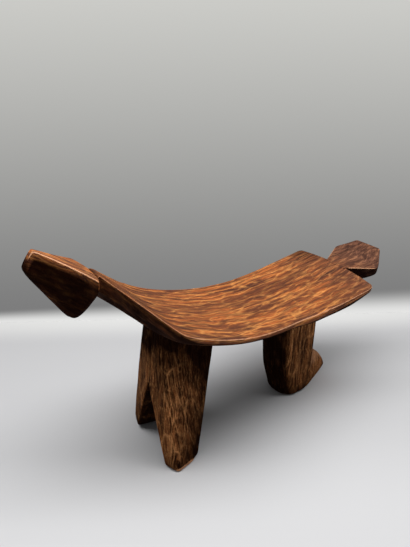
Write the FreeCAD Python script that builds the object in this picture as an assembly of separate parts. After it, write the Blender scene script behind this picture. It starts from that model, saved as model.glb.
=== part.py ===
import FreeCAD, Part
import math
import os

# Sizes in millimetres, angles in degrees: x runs from head to tail, y across, z up from the floor

# Whole carving, and how far a cut runs past what it cuts
overall_length = 452.0
head_length = 56.0
neck_length = 29.0
tail_length = 64.7
trim = 2.0

# Seat: a sling that rises to the neck in front and a little to the tail behind
shoulder_setback = 23.6
seat_width = 127.0
neck_width = 27.0
tail_edge_width = 123.2
waist_back = 185.0
waist_reach = 97.0
waist_dip = 5.6
flare_power = 1.45
corner_blend = 3.8
seat_height = 150.8
low_back = 132.7
shoulder_rise = 34.2
tail_rise = 12.3
neck_angle = 45.5
seat_dish = 1.5
tail_crown = 5.0
tail_twist_angle = 4.4
seat_thickness = 18.0
rim_thickness = 5.0
rim_undercut = 1.0
neck_thickness = 25.0
neck_rim = 13.0
thickening_back = 60.0
thickening_power = 0.6
rim_growth_back = 45.0
rim_growth_power = 1.5
shoulder_steps = 8
seat_steps = 10
neck_steps = 6

# Head: a wedge under a kite-shaped top, set a step below the neck
head_step = 3.0
head_angle = 32.0
brow_back = 10.5
brow_half = 4.5
cheek_back = 30.0
cheek_half = 12.0
ear_ahead = 7.0
ear_half = 27.5
snout_half = 2.5
snout_drop = 18.0
jaw_ahead = 22.0
jaw_drop = 53.5
jaw_round = 6.0
throat_ahead = 3.5
keel_half = 3.0
nape_keel_half = 8.0

# Tail: a flared plate with its end lifted
tail_root_half = 16.3
tail_root_inset = 1.5
tail_wide_back = 41.7
tail_wide_half = 36.4
tail_end_half = 17.2
tail_plate_angle = 8.0
tail_end_angle = 2.7
tail_lift = 13.5
tail_bow = 1.0
tail_rim = 5.5
tail_belly = 17.0
tail_end_belly = 9.0

# Front legs: one fork split by a vee, its feet standing a little to one side
fork_height = 97.0
fork_shift = 11.0
fork_prow = 21.0
fork_prow_lean = 0.123
foot_spread = 52.0
foot_length = 31.0
foot_rear_inset = 6.5
foot_ahead = 1.0
leg_splay = 0.19
leg_rear_lean = 0.26
leg_round = 5.0
gap_front_half = 41.0
gap_rear_half = 27.0
gap_overrun = 1.1

# Rear leg and the heel behind it
rear_leg_ahead = 55.5
rear_leg_length = 43.5
rear_leg_width = 46.6
rear_leg_lean = 0.1
rear_foot_round = 17.0
rear_shin_round = 6.0
rear_back_round = 2.0
rear_ankle = 45.0
heel_length = 54.0
heel_height = 47.0
heel_top_half = 10.0
heel_tip_half = 3.0
heel_bend_back = 32.0
heel_bend_height = 34.0

# Stations along the length
head_x = -overall_length / 2
neck_x = head_x + head_length
seat_x = neck_x + neck_length
shoulder_x = seat_x + shoulder_setback
low_x = shoulder_x + low_back
waist_x = shoulder_x + waist_back
prow_x = shoulder_x - fork_prow
tail_x = overall_length / 2 - tail_length
tail_end_x = overall_length / 2
rear_leg_x = tail_x - rear_leg_ahead
leg_top = seat_height + shoulder_rise + seat_thickness


def point(x, y, z):
    """One point in the shared frame."""
    return FreeCAD.Vector(x, y, z)


def slope(angle):
    """Rise over run of an angle in degrees."""
    return math.tan(math.radians(angle))


def smooth_min(a, b):
    """The lesser of two values, eased where they cross."""
    return 0.5 * (a + b - math.sqrt((a - b) ** 2 + corner_blend ** 2))


def share(x, start, end):
    """How far x lies from start to end, held between 0 and 1."""
    return min(1.0, max(0.0, (x - start) / (end - start)))


def edge_height(x):
    """Height of the seat's side edges: a straight neck running into a sagging curve."""
    reach = low_back if x < low_x else tail_x - low_x
    rise = shoulder_rise if x < low_x else tail_rise
    sag = seat_height + rise * ((x - low_x) / reach) ** 2
    climb = seat_height + shoulder_rise + (shoulder_x - x) * slope(neck_angle)
    return -smooth_min(-sag, -climb)


def half_width(x):
    """Half of the seat's width: a flared neck, then sides with a shallow waist."""
    run = max(0.0, (x - neck_x) / (shoulder_x - neck_x))
    flare = neck_width + (seat_width - neck_width) * run ** flare_power
    side = seat_width + (tail_edge_width - seat_width) * share(x, shoulder_x, tail_x)
    swing = min(1.0, abs(x - waist_x) / waist_reach)
    draw = waist_dip * math.cos(swing * math.pi / 2) ** 2
    return smooth_min(flare / 2, side / 2 - draw)


def crown(x):
    """How far the middle of the top stands above its edges."""
    return (tail_crown + seat_dish) * share(x, low_x, tail_x) ** 2 - seat_dish


def twist(x):
    """Cross slope of the top, growing towards the tail."""
    return slope(tail_twist_angle) * share(x, shoulder_x, tail_x)


def depth(x):
    """How far the middle of the underside lies below the edges."""
    return seat_thickness + (neck_thickness - seat_thickness) * (
        share(x, shoulder_x + thickening_back, neck_x) ** thickening_power
    )


def rim(x):
    """Height of the side faces."""
    return rim_thickness + (neck_rim - rim_thickness) * (
        share(x, shoulder_x + rim_growth_back, neck_x) ** rim_growth_power
    )


def arch(first, middle, last):
    """A curved edge through three points."""
    curve = Part.BSplineCurve()
    curve.interpolate([first, middle, last])
    return curve.toShape()


def band(x, half, edge, bow, side, belly, cross):
    """Closed section across the length: curved top, two rims, curved underside."""
    low = half - rim_undercut
    near = point(x, -half, edge - cross * half)
    far = point(x, half, edge + cross * half)
    near_low = point(x, -low, edge - cross * low - side)
    far_low = point(x, low, edge + cross * low - side)
    edges = [
        arch(near, point(x, 0, edge + bow), far),
        Part.makeLine(far, far_low),
        arch(far_low, point(x, 0, edge - belly), near_low),
        Part.makeLine(near_low, near),
    ]
    return Part.Wire(edges)


def through_bands(stations):
    """Solid through the seat's sections at the given stations."""
    bands = [
        band(x, half_width(x), edge_height(x), crown(x), rim(x), depth(x), twist(x))
        for x in stations
    ]
    return Part.makeLoft(bands, True)


def spaced(start, end, steps):
    """Evenly spaced stations, the last one left out."""
    return [start + (end - start) * step / steps for step in range(steps)]


def prism(outline, reach):
    """A flat outline carried across the full width."""
    return Part.Face(outline).extrude(point(0, 2 * reach, 0))


def polygon(corners):
    """Closed outline with sharp corners."""
    return Part.makePolygon(corners + corners[:1])


def rounded(corners, radii):
    """Closed outline with an arc at each corner that has a radius."""
    starts = []
    middles = []
    ends = []
    count = len(corners)
    for index, corner in enumerate(corners):
        back = (corners[index - 1] - corner).normalize()
        ahead = (corners[(index + 1) % count] - corner).normalize()
        half_angle = back.getAngle(ahead) / 2
        reach = radii[index] / math.tan(half_angle)
        starts.append(corner + back * reach)
        ends.append(corner + ahead * reach)
        bisector = (back + ahead).normalize()
        middles.append(corner + bisector * (radii[index] / math.sin(half_angle) - radii[index]))
    edges = []
    for index in range(count):
        if radii[index]:
            edges.append(Part.Arc(starts[index], middles[index], ends[index]).toShape())
        edges.append(Part.makeLine(ends[index], starts[(index + 1) % count]))
    return Part.Wire(edges)


def lowest(shape):
    """The solid of a cut that lies nearest the floor."""
    return min(shape.Solids, key=lambda solid: solid.BoundBox.ZMin)


def make_seat():
    """The sling from the neck joint to the tail edge, sampled closely at the shoulders."""
    behind_x = shoulder_x + 4 * corner_blend
    front = spaced(seat_x, behind_x, shoulder_steps)
    back = spaced(behind_x, tail_x, seat_steps)
    return through_bands(front + back + [tail_x])


def nape_line(reach):
    """Upper and lower ends of the slanted face between head and neck."""
    throat_x = neck_x - throat_ahead
    nape = point(neck_x, -reach, edge_height(neck_x))
    throat = point(throat_x, -reach, edge_height(throat_x) - neck_thickness)
    return nape, throat


def make_neck():
    """Rising bar behind the head, ended on the head's slanted back face."""
    reach = seat_width
    nape, throat = nape_line(reach)
    along = nape - throat
    forward = point(-head_length, 0, 0)
    upper = nape + along
    lower = throat - along
    room = prism(polygon([upper, lower, lower + forward, upper + forward]), reach)
    stations = spaced(neck_x - neck_width / 2, seat_x, neck_steps)
    return through_bands(stations + [seat_x]).cut(room)


def head_top(x):
    """Height of the head's flat top."""
    return edge_height(neck_x) - head_step + (neck_x - x) * slope(head_angle)


def kite(drop, halves):
    """Outline of the head at one depth under its top."""
    stations = [
        head_x - trim,
        head_x + brow_back,
        head_x + cheek_back,
        neck_x - ear_ahead,
        neck_x + trim,
    ]
    near = [point(x, -half, head_top(x) - drop) for x, half in zip(stations, halves)]
    far = [point(corner.x, -corner.y, corner.z) for corner in reversed(near)]
    return polygon(near + far)


def make_head():
    """Kite-topped wedge, trimmed to the side view of snout, jaw and throat."""
    wedge = Part.makeLoft([
        kite(0, [snout_half, brow_half, cheek_half, ear_half, neck_width / 2]),
        kite(jaw_drop + trim, [keel_half, keel_half, keel_half, keel_half, nape_keel_half]),
    ], True, True)
    reach = seat_width
    above = point(0, 0, jaw_drop)
    brow_x = head_x + brow_back
    jaw_x = neck_x - jaw_ahead
    nape, throat = nape_line(reach)
    snout = point(head_x, -reach, head_top(head_x) - snout_drop)
    jaw = point(jaw_x, -reach, head_top(jaw_x) - jaw_drop)
    brow = point(brow_x, -reach, head_top(brow_x))
    corners = [snout, jaw, throat, nape, nape + above, brow + above, brow]
    radii = [0, jaw_round, 0, 0, 0, 0, 0]
    return wedge.common(prism(rounded(corners, radii), reach))


def make_tail():
    """Flared plate whose root lies within the seat's end face."""
    root_rise = crown(tail_x) * (1 - (2 * tail_root_half / tail_edge_width) ** 2)
    root = edge_height(tail_x) + root_rise
    root_belly = root_rise + depth(tail_x) - tail_root_inset
    root_rim = root_belly - tail_root_inset
    wide_x = tail_x + tail_wide_back
    bands = [
        band(tail_x, tail_root_half, root, tail_bow, root_rim, root_belly, twist(tail_x)),
        band(wide_x, tail_wide_half, root, tail_bow, tail_rim, tail_belly, slope(tail_plate_angle)),
        band(tail_end_x, tail_end_half, root + tail_lift, tail_bow, tail_rim, tail_end_belly,
             slope(tail_end_angle)),
    ]
    return Part.makeLoft(bands, True, True)


def leg_outline(side, z):
    """Section of one half of the fork, from the mid-plane outwards."""
    shift = fork_shift * (1 - z / leg_top)
    front = side * (foot_spread - leg_splay * z) + shift
    rear = front - side * foot_rear_inset
    rear_x = shoulder_x + foot_length + leg_rear_lean * z
    corners = [
        point(prow_x + fork_prow_lean * z, 0, z),
        point(shoulder_x - foot_ahead, front, z),
        point(rear_x, rear, z),
        point(rear_x, 0, z),
    ]
    return rounded(corners, [0, leg_round, leg_round, 0])


def gap_half(x):
    """Half of the vee's width on the floor, narrowing from the prow to the rear of the feet."""
    return gap_front_half - (gap_front_half - gap_rear_half) * (x - prow_x) / (fork_prow + foot_length)


def make_crotch():
    """The tapering vee right through the fork, carried on below the floor."""
    rear_x = shoulder_x + foot_length + leg_rear_lean * fork_height + trim
    wires = []
    for x in [prow_x - trim, rear_x]:
        apex = point(x, 0, fork_height)
        near = point(x, fork_shift - gap_half(x), 0) - apex
        far = point(x, fork_shift + gap_half(x), 0) - apex
        wires.append(polygon([apex, apex + near * gap_overrun, apex + far * gap_overrun]))
    return Part.makeLoft(wires, True, True)


def make_front_leg(side, crotch, seat):
    """One leg of the fork, cut to the vee and to the underside of the seat."""
    block = Part.makeLoft([leg_outline(side, 0), leg_outline(side, leg_top)], True, True)
    return lowest(block.cut(crotch).cut(seat))


def rear_outline(z, front_round):
    """Section of the rear leg."""
    front_x = rear_leg_x - rear_leg_length - rear_leg_lean * z
    half = rear_leg_width / 2
    corners = [
        point(front_x, half, z),
        point(front_x, -half, z),
        point(rear_leg_x, -half, z),
        point(rear_leg_x, half, z),
    ]
    return rounded(corners, [front_round, front_round, rear_back_round, rear_back_round])


def make_rear_leg(seat):
    """Stout leg under the tail half, cut to the underside of the seat."""
    outlines = [
        rear_outline(0, rear_foot_round),
        rear_outline(rear_ankle, rear_shin_round),
        rear_outline(leg_top, rear_shin_round),
    ]
    return lowest(Part.makeLoft(outlines, True, True).cut(seat))


def heel_plan(z, half):
    """Tapering outline of the heel at one height."""
    tip_x = rear_leg_x + heel_length
    return polygon([
        point(rear_leg_x, -half, z),
        point(tip_x, -heel_tip_half, z),
        point(tip_x, heel_tip_half, z),
        point(rear_leg_x, half, z),
    ])


def make_heel():
    """Wedge against the back of the rear leg, with a rounded top line."""
    foot_half = rear_leg_width / 2 - rear_back_round
    wedge = Part.makeLoft([heel_plan(0, foot_half), heel_plan(heel_height, heel_top_half)], True, True)
    reach = rear_leg_width
    foot = point(rear_leg_x, -reach, 0)
    tip = point(rear_leg_x + heel_length, -reach, 0)
    bend = point(rear_leg_x + heel_bend_back, -reach, heel_bend_height)
    instep = point(rear_leg_x, -reach, heel_height)
    outline = Part.Wire([
        Part.makeLine(foot, tip),
        Part.Arc(tip, bend, instep).toShape(),
        Part.makeLine(instep, foot),
    ])
    return wedge.common(prism(outline, reach))


def make_pieces():
    """Every carved member by its node name."""
    seat = make_seat()
    crotch = make_crotch()
    return {
        "seat": seat,
        "neck": make_neck(),
        "head": make_head(),
        "tail": make_tail(),
        "front_leg_near": make_front_leg(-1, crotch, seat),
        "front_leg_far": make_front_leg(1, crotch, seat),
        "rear_leg": make_rear_leg(seat),
        "heel": make_heel(),
    }


os.makedirs("parts", exist_ok=True)
for name, shape in make_pieces().items():
    shape.exportStep("parts/" + name + ".step")
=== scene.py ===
import math
from functools import partial

import bpy
import numpy as np
from bpy.props import FloatProperty, FloatVectorProperty, PointerProperty
from bpy.types import Operator, Panel, PropertyGroup
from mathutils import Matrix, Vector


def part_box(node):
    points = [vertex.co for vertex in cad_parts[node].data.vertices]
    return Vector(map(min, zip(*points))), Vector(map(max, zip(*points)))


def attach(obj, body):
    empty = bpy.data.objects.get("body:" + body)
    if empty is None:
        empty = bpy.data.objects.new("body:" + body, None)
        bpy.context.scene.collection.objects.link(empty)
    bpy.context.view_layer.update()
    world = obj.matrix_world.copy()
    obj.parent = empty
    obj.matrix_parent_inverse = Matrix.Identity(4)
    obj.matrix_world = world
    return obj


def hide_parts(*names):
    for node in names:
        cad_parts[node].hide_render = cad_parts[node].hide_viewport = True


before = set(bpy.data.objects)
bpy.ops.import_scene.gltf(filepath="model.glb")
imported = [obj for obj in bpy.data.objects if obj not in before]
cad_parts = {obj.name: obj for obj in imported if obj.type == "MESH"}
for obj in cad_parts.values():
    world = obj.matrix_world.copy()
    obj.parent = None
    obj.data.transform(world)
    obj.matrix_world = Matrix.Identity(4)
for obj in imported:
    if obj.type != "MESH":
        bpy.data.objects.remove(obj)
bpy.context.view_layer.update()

bl_info = {
    "name": "Carved Travel Chair",
    "version": (1, 0, 0),
    "blender": (4, 5, 0),
    "location": "View3D > Sidebar > Chair",
    "description": "Builds a carved wooden travel chair over its packed solids",
    "category": "Add Mesh",
}

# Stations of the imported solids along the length, in metres
HEAD_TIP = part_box("head")[0].x
SEAT_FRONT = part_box("seat")[0].x
SEAT_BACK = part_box("seat")[1].x
TAIL_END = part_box("tail")[1].x
HEEL_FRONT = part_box("heel")[0].x
HEEL_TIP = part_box("heel")[1].x


def size(label, what, value):
    """A length in metres that a user may change."""
    return FloatProperty(name=label, description=what, default=value, min=0.0, unit="LENGTH",
                         subtype="DISTANCE", precision=4)


def angle(label, what, degrees):
    """An angle that a user may change."""
    return FloatProperty(name=label, description=what, default=math.radians(degrees), subtype="ANGLE")


def colour(label, what, value):
    """A colour that a user may change."""
    return FloatVectorProperty(name=label, description=what, default=value, size=3, min=0.0, max=1.0,
                               subtype="COLOR")


class ChairSeat(PropertyGroup):
    """Sizes of the sagging plank and the neck it rises into."""
    width: size("Width", "Seat width at the shoulders", 0.127)
    tail_width: size("Tail edge", "Seat width at its rear edge", 0.1232)
    neck_width: size("Neck width", "Width of the neck where the head begins", 0.027)
    neck_length: size("Neck length", "From the head to the front of the seat", 0.029)
    shoulder_back: size("Shoulder", "From the front of the seat back to its full width", 0.0236)
    waist_back: size("Waist place", "From the shoulders back to the narrowest place", 0.150)
    waist_reach: size("Waist reach", "How far the narrowing runs each way", 0.097)
    waist_dip: size("Waist dip", "How far each side draws in at the waist", 0.0030)
    height: size("Height", "Lowest height of the side edges", 0.1508)
    low_back: size("Low place", "From the shoulders back to the lowest place", 0.1327)
    shoulder_rise: size("Shoulder rise", "How far the edges climb to the shoulders", 0.0342)
    tail_rise: size("Tail rise", "How far the edges climb to the rear edge", 0.0123)
    neck_climb: angle("Neck climb", "Slope of the neck", 45.5)
    dish: size("Dish", "How far the middle lies under the side edges", 0.0015)
    tail_crown: size("Tail crown", "How far the middle stands up at the rear edge", 0.005)
    tail_twist: angle("Tail twist", "Cross slope at the rear edge", 4.4)
    thickness: size("Thickness", "Depth of the underside below the edges", 0.018)
    neck_thickness: size("Neck thickness", "The same at the neck", 0.023)
    rim: size("Rim", "Height of the side faces", 0.0062)
    neck_rim: size("Neck rim", "Height of the side faces at the neck", 0.013)
    rear_rim: size("Rear rim", "Height of the side faces over the rear leg", 0.0098)
    arris: size("Arris", "Radius of the worn edges", 0.0016)
    rear_round: size("Rear edge", "Radius of the worn rear edge", 0.0022)
    tail_corner: size("Tail corner", "Radius of the rear corners seen from above", 0.008)


class ChairHead(PropertyGroup):
    """Sizes of the wedge at the front end."""
    step: size("Step", "How far the top lies under the neck", 0.002)
    slope: angle("Slope", "Slope of the flat top", 34.0)
    brow_back: size("Brow", "From the tip to the top of the end facet", 0.0092)
    brow_half: size("Brow half width", "Half width of the top at the brow", 0.0043)
    near_ear: size("Near ear", "From the neck forward to the widest place, near side", 0.0045)
    far_ear: size("Far ear", "From the neck forward to the widest place, far side", 0.0105)
    ear_half: size("Ear half width", "Half width at the widest place", 0.0275)
    snout_drop: size("Snout drop", "Depth of the tip under the top", 0.0218)
    snout_blunt: size("Snout blunt", "Height over which the tip is rounded", 0.008)
    jaw_ahead: size("Jaw place", "From the neck forward to the jaw", 0.0256)
    jaw_drop: size("Jaw drop", "Depth of the jaw under the top", 0.0576)
    throat_bulge: size("Throat bulge", "How far the back of the jaw swells", 0.0084)
    jaw_round: size("Jaw round", "How softly the jaw turns", 0.007)
    throat_ahead: size("Throat place", "From the neck forward to the throat", 0.0047)
    keel_half: size("Keel half width", "Half width of the lower edge", 0.0022)
    keel_bevel: size("Keel bevel", "Height of the bevel along the lower edge", 0.008)
    arris: size("Arris", "Radius of the worn top edges", 0.0018)


class ChairTail(PropertyGroup):
    """Sizes of the flared plate behind the seat."""
    root_half: size("Root half width", "Half width where it leaves the seat", 0.0163)
    wide_back: size("Wide place", "From the seat back to the widest place", 0.0417)
    wide_half: size("Wide half width", "Half width at the widest place", 0.0372)
    end_half: size("End half width", "Half width of the end", 0.0188)
    wide_twist: angle("Wide twist", "Cross slope at the widest place", 8.0)
    end_twist: angle("End twist", "Cross slope at the end", 2.7)
    lift: size("Lift", "How far the end stands above the root", 0.0150)
    rim: size("Rim", "Height of the side faces", 0.0095)
    belly: size("Belly", "Depth of the underside at the widest place", 0.017)
    end_belly: size("End belly", "Depth of the underside at the end", 0.009)
    arris: size("Arris", "Radius of the worn edges", 0.0013)


class ChairFork(PropertyGroup):
    """Sizes of the forked front legs."""
    fork_height: size("Fork height", "Height of the vee between the legs", 0.097)
    shift: size("Shift", "How far the feet stand to one side", 0.011)
    prow: size("Prow", "From the shoulders forward to the front ridge", 0.021)
    spread: size("Spread", "Half spread of the feet", 0.0528)
    foot_length: size("Foot length", "From the shoulders back to the rear of a foot", 0.031)
    foot_inset: size("Foot inset", "How far the outer face draws in to the rear", 0.0065)
    gap_front: size("Gap in front", "Half gap between the feet in front", 0.041)
    gap_rear: size("Gap behind", "Half gap between the feet behind", 0.027)
    far_foot_extra: size("Far foot width", "How much further the far foot reaches inwards", 0.007)
    near_foot_round: size("Near foot", "Radius of the near foot's lower edges", 0.0045)
    far_foot_round: size("Far foot", "Radius of the far foot's lower edges", 0.0085)
    ledge_height: size("Ledge height", "Height of the chipped ledge on the near foot", 0.0050)
    ledge_depth: size("Ledge depth", "How far the chipped ledge stands out", 0.0045)
    flute: size("Flute", "Depth of the tool marks", 0.0004)


class ChairRearLeg(PropertyGroup):
    """Sizes of the rear leg and the heel behind it."""
    length: size("Length", "Length of the foot along the chair", 0.0435)
    width: size("Width", "Width across the chair", 0.0466)
    toe_round: size("Toe round", "Radius of the front corners on the floor", 0.0225)
    shin_round: size("Shin round", "Radius of the front corners higher up", 0.010)
    ankle: size("Ankle", "Height where the toe has become the shin", 0.045)
    foot_round: size("Foot round", "Radius of the lower edge", 0.0060)
    heel_height: size("Heel height", "Height of the heel against the leg", 0.053)
    heel_half: size("Heel half width", "Half width of the heel on the floor", 0.0213)
    heel_top_half: size("Heel top half width", "Half width of the heel's top line", 0.010)
    heel_tip_half: size("Heel tip half width", "Half width of the heel's tip", 0.003)
    tip_height: size("Heel tip height", "Height of the heel's blunt tip", 0.007)
    flute: size("Flute", "Depth of the tool marks", 0.0005)


class ChairWood(PropertyGroup):
    """Colours of the wood and what age has done to it; the patina colour also paints shade and the worn
    colour highlights.
    """
    seat_dark: colour("Seat dark", "Dark flames of the seat", (0.110, 0.040, 0.026))
    seat_mid: colour("Seat ground", "Ground colour of the seat", (0.62, 0.178, 0.047))
    seat_light: colour("Seat ridges", "Light ridges of the seat", (0.98, 0.410, 0.115))
    tail_dark: colour("Tail dark", "Dark flames of the tail", (0.085, 0.036, 0.024))
    tail_mid: colour("Tail ground", "Ground colour of the tail", (0.22, 0.092, 0.055))
    tail_light: colour("Tail ridges", "Light ridges of the tail", (0.45, 0.20, 0.105))
    leg_dark: colour("Leg dark", "Dark streaks of the legs", (0.008, 0.0018, 0.0007))
    leg_mid: colour("Leg ground", "Ground colour of the legs", (0.50, 0.178, 0.058))
    leg_light: colour("Leg streaks", "Light streaks of the legs", (0.90, 0.40, 0.15))
    # Also painted shade: this near-black darkens faces turned down or away, the legs under the seat and the
    # inside of the fork.
    patina: colour("Patina", "Blackened handling patina", (0.006, 0.0013, 0.0008))
    # Also a painted highlight: this pale colour stands for light caught on rounded top edges, the head's
    # keel, the fork's ridge and the heel's top.
    worn: colour("Worn edges", "Bare wood on the worn edges", (0.74, 0.38, 0.21))


class ChairStage(PropertyGroup):
    """Colours of the floor and backdrop, with painted light: a paler foreground and floor line, and a
    backdrop that glows paler towards its top.
    """
    floor: colour("Floor", "Pale floor", (0.60, 0.60, 0.61))
    # Painted light: the floor is paler nearest the camera and at the foot of the backdrop
    floor_near: colour("Foreground", "Floor nearest the camera", (0.68, 0.68, 0.69))
    floor_far: colour("Background", "Floor at the foot of the backdrop", (0.80, 0.80, 0.79))
    # Painted light: the backdrop glows with these greys, darker low and paler towards its top, with a pale
    # band along its foot
    wall_low: colour("Backdrop, low", "Backdrop above the floor line", (0.205, 0.205, 0.205))
    wall_high: colour("Backdrop, high", "Backdrop at the top of the view", (0.595, 0.595, 0.57))
    wall_foot: colour("Floor line", "Pale band where backdrop and floor meet", (0.775, 0.775, 0.765))


# Limits that keep the surfaces sound
TINY = 1e-12  # least length that a vector is divided by
FLATTEST = 1e-3  # how near half the angle of a corner may come to none or to a right angle, in radians
SHARPEST = 0.2  # half angle from which sharper corners grow no fuller, in radians
ARC_SHARE = 0.48  # most of a side that the arc of one corner may take
END_STEPS = np.array([0.35, 0.7])  # how far in the smaller rings of an end face lie

# Repeatable noise: factors that mix the three numbers of a cell with its seed
CELL_MIX = np.array([127.1, 311.7, 74.7])
SEED_MIX = 53.3
MIX_GAIN = 43758.5453

# The direction of height
UPWARDS = (0.0, 0.0, 1.0)

# Heights over which tool marks grow from nothing at the floor
SOLE_CALM = (0.0, 0.004)


def smooth_min(a, b, blend):
    """The lesser of two arrays, eased as a hyperbola over the blend where they cross."""
    return 0.5 * (a + b - np.sqrt((a - b) ** 2 + blend ** 2))


def share(x, start, end):
    """How far x lies from start to end, held between 0 and 1."""
    return np.clip((x - start) / (end - start), 0.0, 1.0)


def ease(x, start, end):
    """The share from start to end, eased as three squares less two cubes."""
    t = share(x, start, end)
    return t * t * (3.0 - 2.0 * t)


def ease_from(x, place, run):
    """The eased share over a run, which is given as two distances from a place."""
    return ease(x, place + run[0], place + run[1])


def between(first, second, part):
    """The value that lies a part of the way from the first to the second."""
    return first + (second - first) * part


def unit(vectors):
    """Vectors scaled to length one."""
    return vectors / np.maximum(np.linalg.norm(vectors, axis=-1, keepdims=True), TINY)


def stations(start, end, count, crowding):
    """Values from start to end, drawn closer together at both ends by a sine times the crowding."""
    t = np.linspace(0.0, 1.0, count)
    t = t - crowding * np.sin(2.0 * np.pi * t) / (2.0 * np.pi)
    return between(start, end, t)


def corner_drop(distance, radius):
    """How far an edge rounded as a quarter circle lies inside its sharp one, at a distance from the end."""
    inside = np.clip(radius - distance, 0.0, radius)
    return radius - np.sqrt(radius ** 2 - inside ** 2)


def lattice(cell, seed):
    """A repeatable value from 0 to 1 for each whole-number cell: the fraction of a large sine."""
    mixed = np.sin(cell @ CELL_MIX + seed * SEED_MIX) * MIX_GAIN
    return mixed - np.floor(mixed)


def soft_noise(points, cells, seed):
    """Smooth noise from -1 to 1: the eased blend of the eight lattice values round each point."""
    scaled = points / np.asarray(cells)
    base = np.floor(scaled)
    part = scaled - base
    part = part * part * (3.0 - 2.0 * part)
    total = np.zeros(points.shape[:-1])
    for step in np.ndindex(2, 2, 2):
        step = np.array(step)
        weight = np.prod(np.where(step == 1, part, 1.0 - part), axis=-1)
        total += weight * lattice(base + step, seed)
    return 2.0 * total - 1.0


def tool_marks(grid, depth, cells, seed):
    """How far the tool marks stand out at each point: soft noise times their depth."""
    return depth * soft_noise(grid, cells, seed)


def off_the_floor(grid):
    """0 on the floor, 1 a little above it, so that tool marks leave the soles flat."""
    return ease(grid[..., 2], *SOLE_CALM)


def corner_values(*values):
    """One value for each corner at every station, stations by corners."""
    return np.stack(np.broadcast_arrays(*values), axis=1)


def corner_lines(*lines):
    """Corners for rounded rings, stations by corners by 3, from x, y and z along each corner's line."""
    return np.stack([np.stack(np.broadcast_arrays(*line), axis=-1) for line in lines], axis=1)


def corner_sides(corners):
    """For each corner the unit vectors to the corners before and after it, half the angle between them, and
    the length of the shorter side."""
    last = np.roll(corners, 1, axis=1) - corners
    following = np.roll(corners, -1, axis=1) - corners
    shorter = np.minimum(np.linalg.norm(last, axis=-1), np.linalg.norm(following, axis=-1))
    last = unit(last)
    following = unit(following)
    half = 0.5 * np.arccos(np.clip((last * following).sum(-1), -1.0, 1.0))
    return last, following, half, shorter


def rounded_rings(corners, radii, ring):
    """Rings of polygons with arcs for corners: each arc touches both sides, limited by the shorter one, and
    each side carries evenly spaced points."""
    arc_points, edge_points = ring
    last, following, half, shorter = corner_sides(corners)
    half = np.clip(half, FLATTEST, np.pi / 2 - FLATTEST)
    radii = np.minimum(radii, ARC_SHARE * shorter * np.tan(half))
    reach = (radii / np.tan(half))[..., None]
    start = corners + last * reach
    end = corners + following * reach
    centre = corners + unit(last + following) * (radii / np.sin(half))[..., None]
    sweep = (np.pi - 2.0 * half)[..., None]
    t = np.linspace(0.0, 1.0, arc_points)
    from_start = (np.sin((1.0 - t) * sweep) / np.sin(sweep))[..., None]
    from_end = (np.sin(t * sweep) / np.sin(sweep))[..., None]
    arcs = (centre[:, :, None] + (start - centre)[:, :, None] * from_start
            + (end - centre)[:, :, None] * from_end)
    next_start = np.roll(start, -1, axis=1)
    parts = []
    for corner, points in enumerate(edge_points):
        t = np.linspace(0.0, 1.0, points + 2)[1:-1, None]
        parts.append(arcs[:, corner])
        parts.append(end[:, corner, None] * (1.0 - t) + next_start[:, corner, None] * t)
    return np.concatenate(parts, axis=1)


def fuller(corners, radii, fullness):
    """Corners moved outwards so that their arcs keep a share of the outline they would cut away."""
    last, following, half, _ = corner_sides(corners)
    cut = radii * (1.0 / np.sin(np.maximum(half, SHARPEST)) - 1.0)
    return corners - fullness * unit(last + following) * cut[..., None]


def ring_normals(grid):
    """Outward unit normals of a grid of rings, from the differences along and round it."""
    along = np.gradient(grid, axis=0)
    around = np.roll(grid, -1, axis=1) - np.roll(grid, 1, axis=1)
    normals = unit(np.cross(along, around))
    outward = ((grid - grid.mean(axis=1, keepdims=True)) * normals).sum()
    return normals if outward > 0 else -normals


def pushed(grid, normals, depth):
    """The grid moved along its normals by a depth for each point."""
    return grid + normals * depth[..., None]


def inset_level_rings(grid, amount):
    """Level rings moved inwards in their own plane by an amount for each ring."""
    around = np.roll(grid, -1, axis=1) - np.roll(grid, 1, axis=1)
    inward = unit(np.cross(around, UPWARDS))
    centre = grid.mean(axis=1, keepdims=True)
    inward = inward * np.sign(((centre - grid) * inward).sum(axis=(1, 2), keepdims=True))
    return grid + inward * amount[:, None, None]


def arris_mask(ring, chosen, fall, hold):
    """A mask round a ring, used both for worn edges with painted highlights and for shaded edges: 1 on the
    held share of the chosen corners' arcs, fading over a count of points as a bell curve."""
    arc_points, edge_points = ring
    count = sum(edge_points) + arc_points * len(edge_points)
    places = []
    at = 0
    for corner, points in enumerate(edge_points):
        if corner in chosen:
            places.append(at + 0.5 * (arc_points - 1))
        at += arc_points + points
    away = np.abs(np.arange(count)[:, None] - np.array(places)[None, :])
    away = np.minimum(away, count - away).min(axis=1)
    return np.exp(-(np.maximum(away - hold * arc_points, 0.0) / fall) ** 2)


def closed_ends(grid):
    """The grid with smaller rings inside its first and last ring, for the end faces."""
    first = grid[:1]
    last = grid[-1:]
    front = between(first, first.mean(axis=1, keepdims=True), END_STEPS[::-1, None, None])
    back = between(last, last.mean(axis=1, keepdims=True), END_STEPS[:, None, None])
    return np.concatenate([front, grid, back], axis=0)


def carved(grid, wear, patina):
    """The grid with its end faces, and the masks for wear with painted highlights and for patina with
    painted shade carried over to them.
    """
    masks = {}
    for name, mask in (("wear", wear), ("patina", patina)):
        mask = np.broadcast_to(mask, grid.shape[:2])
        masks[name] = np.pad(mask, ((len(END_STEPS), len(END_STEPS)), (0, 0)), mode="edge")
    return closed_ends(grid), masks


def with_poles(values):
    """The values of a grid in one row, followed by the means of its first and last ring."""
    return np.concatenate([values.reshape(-1, *values.shape[2:]), values[[0, -1]].mean(axis=1)])


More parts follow.
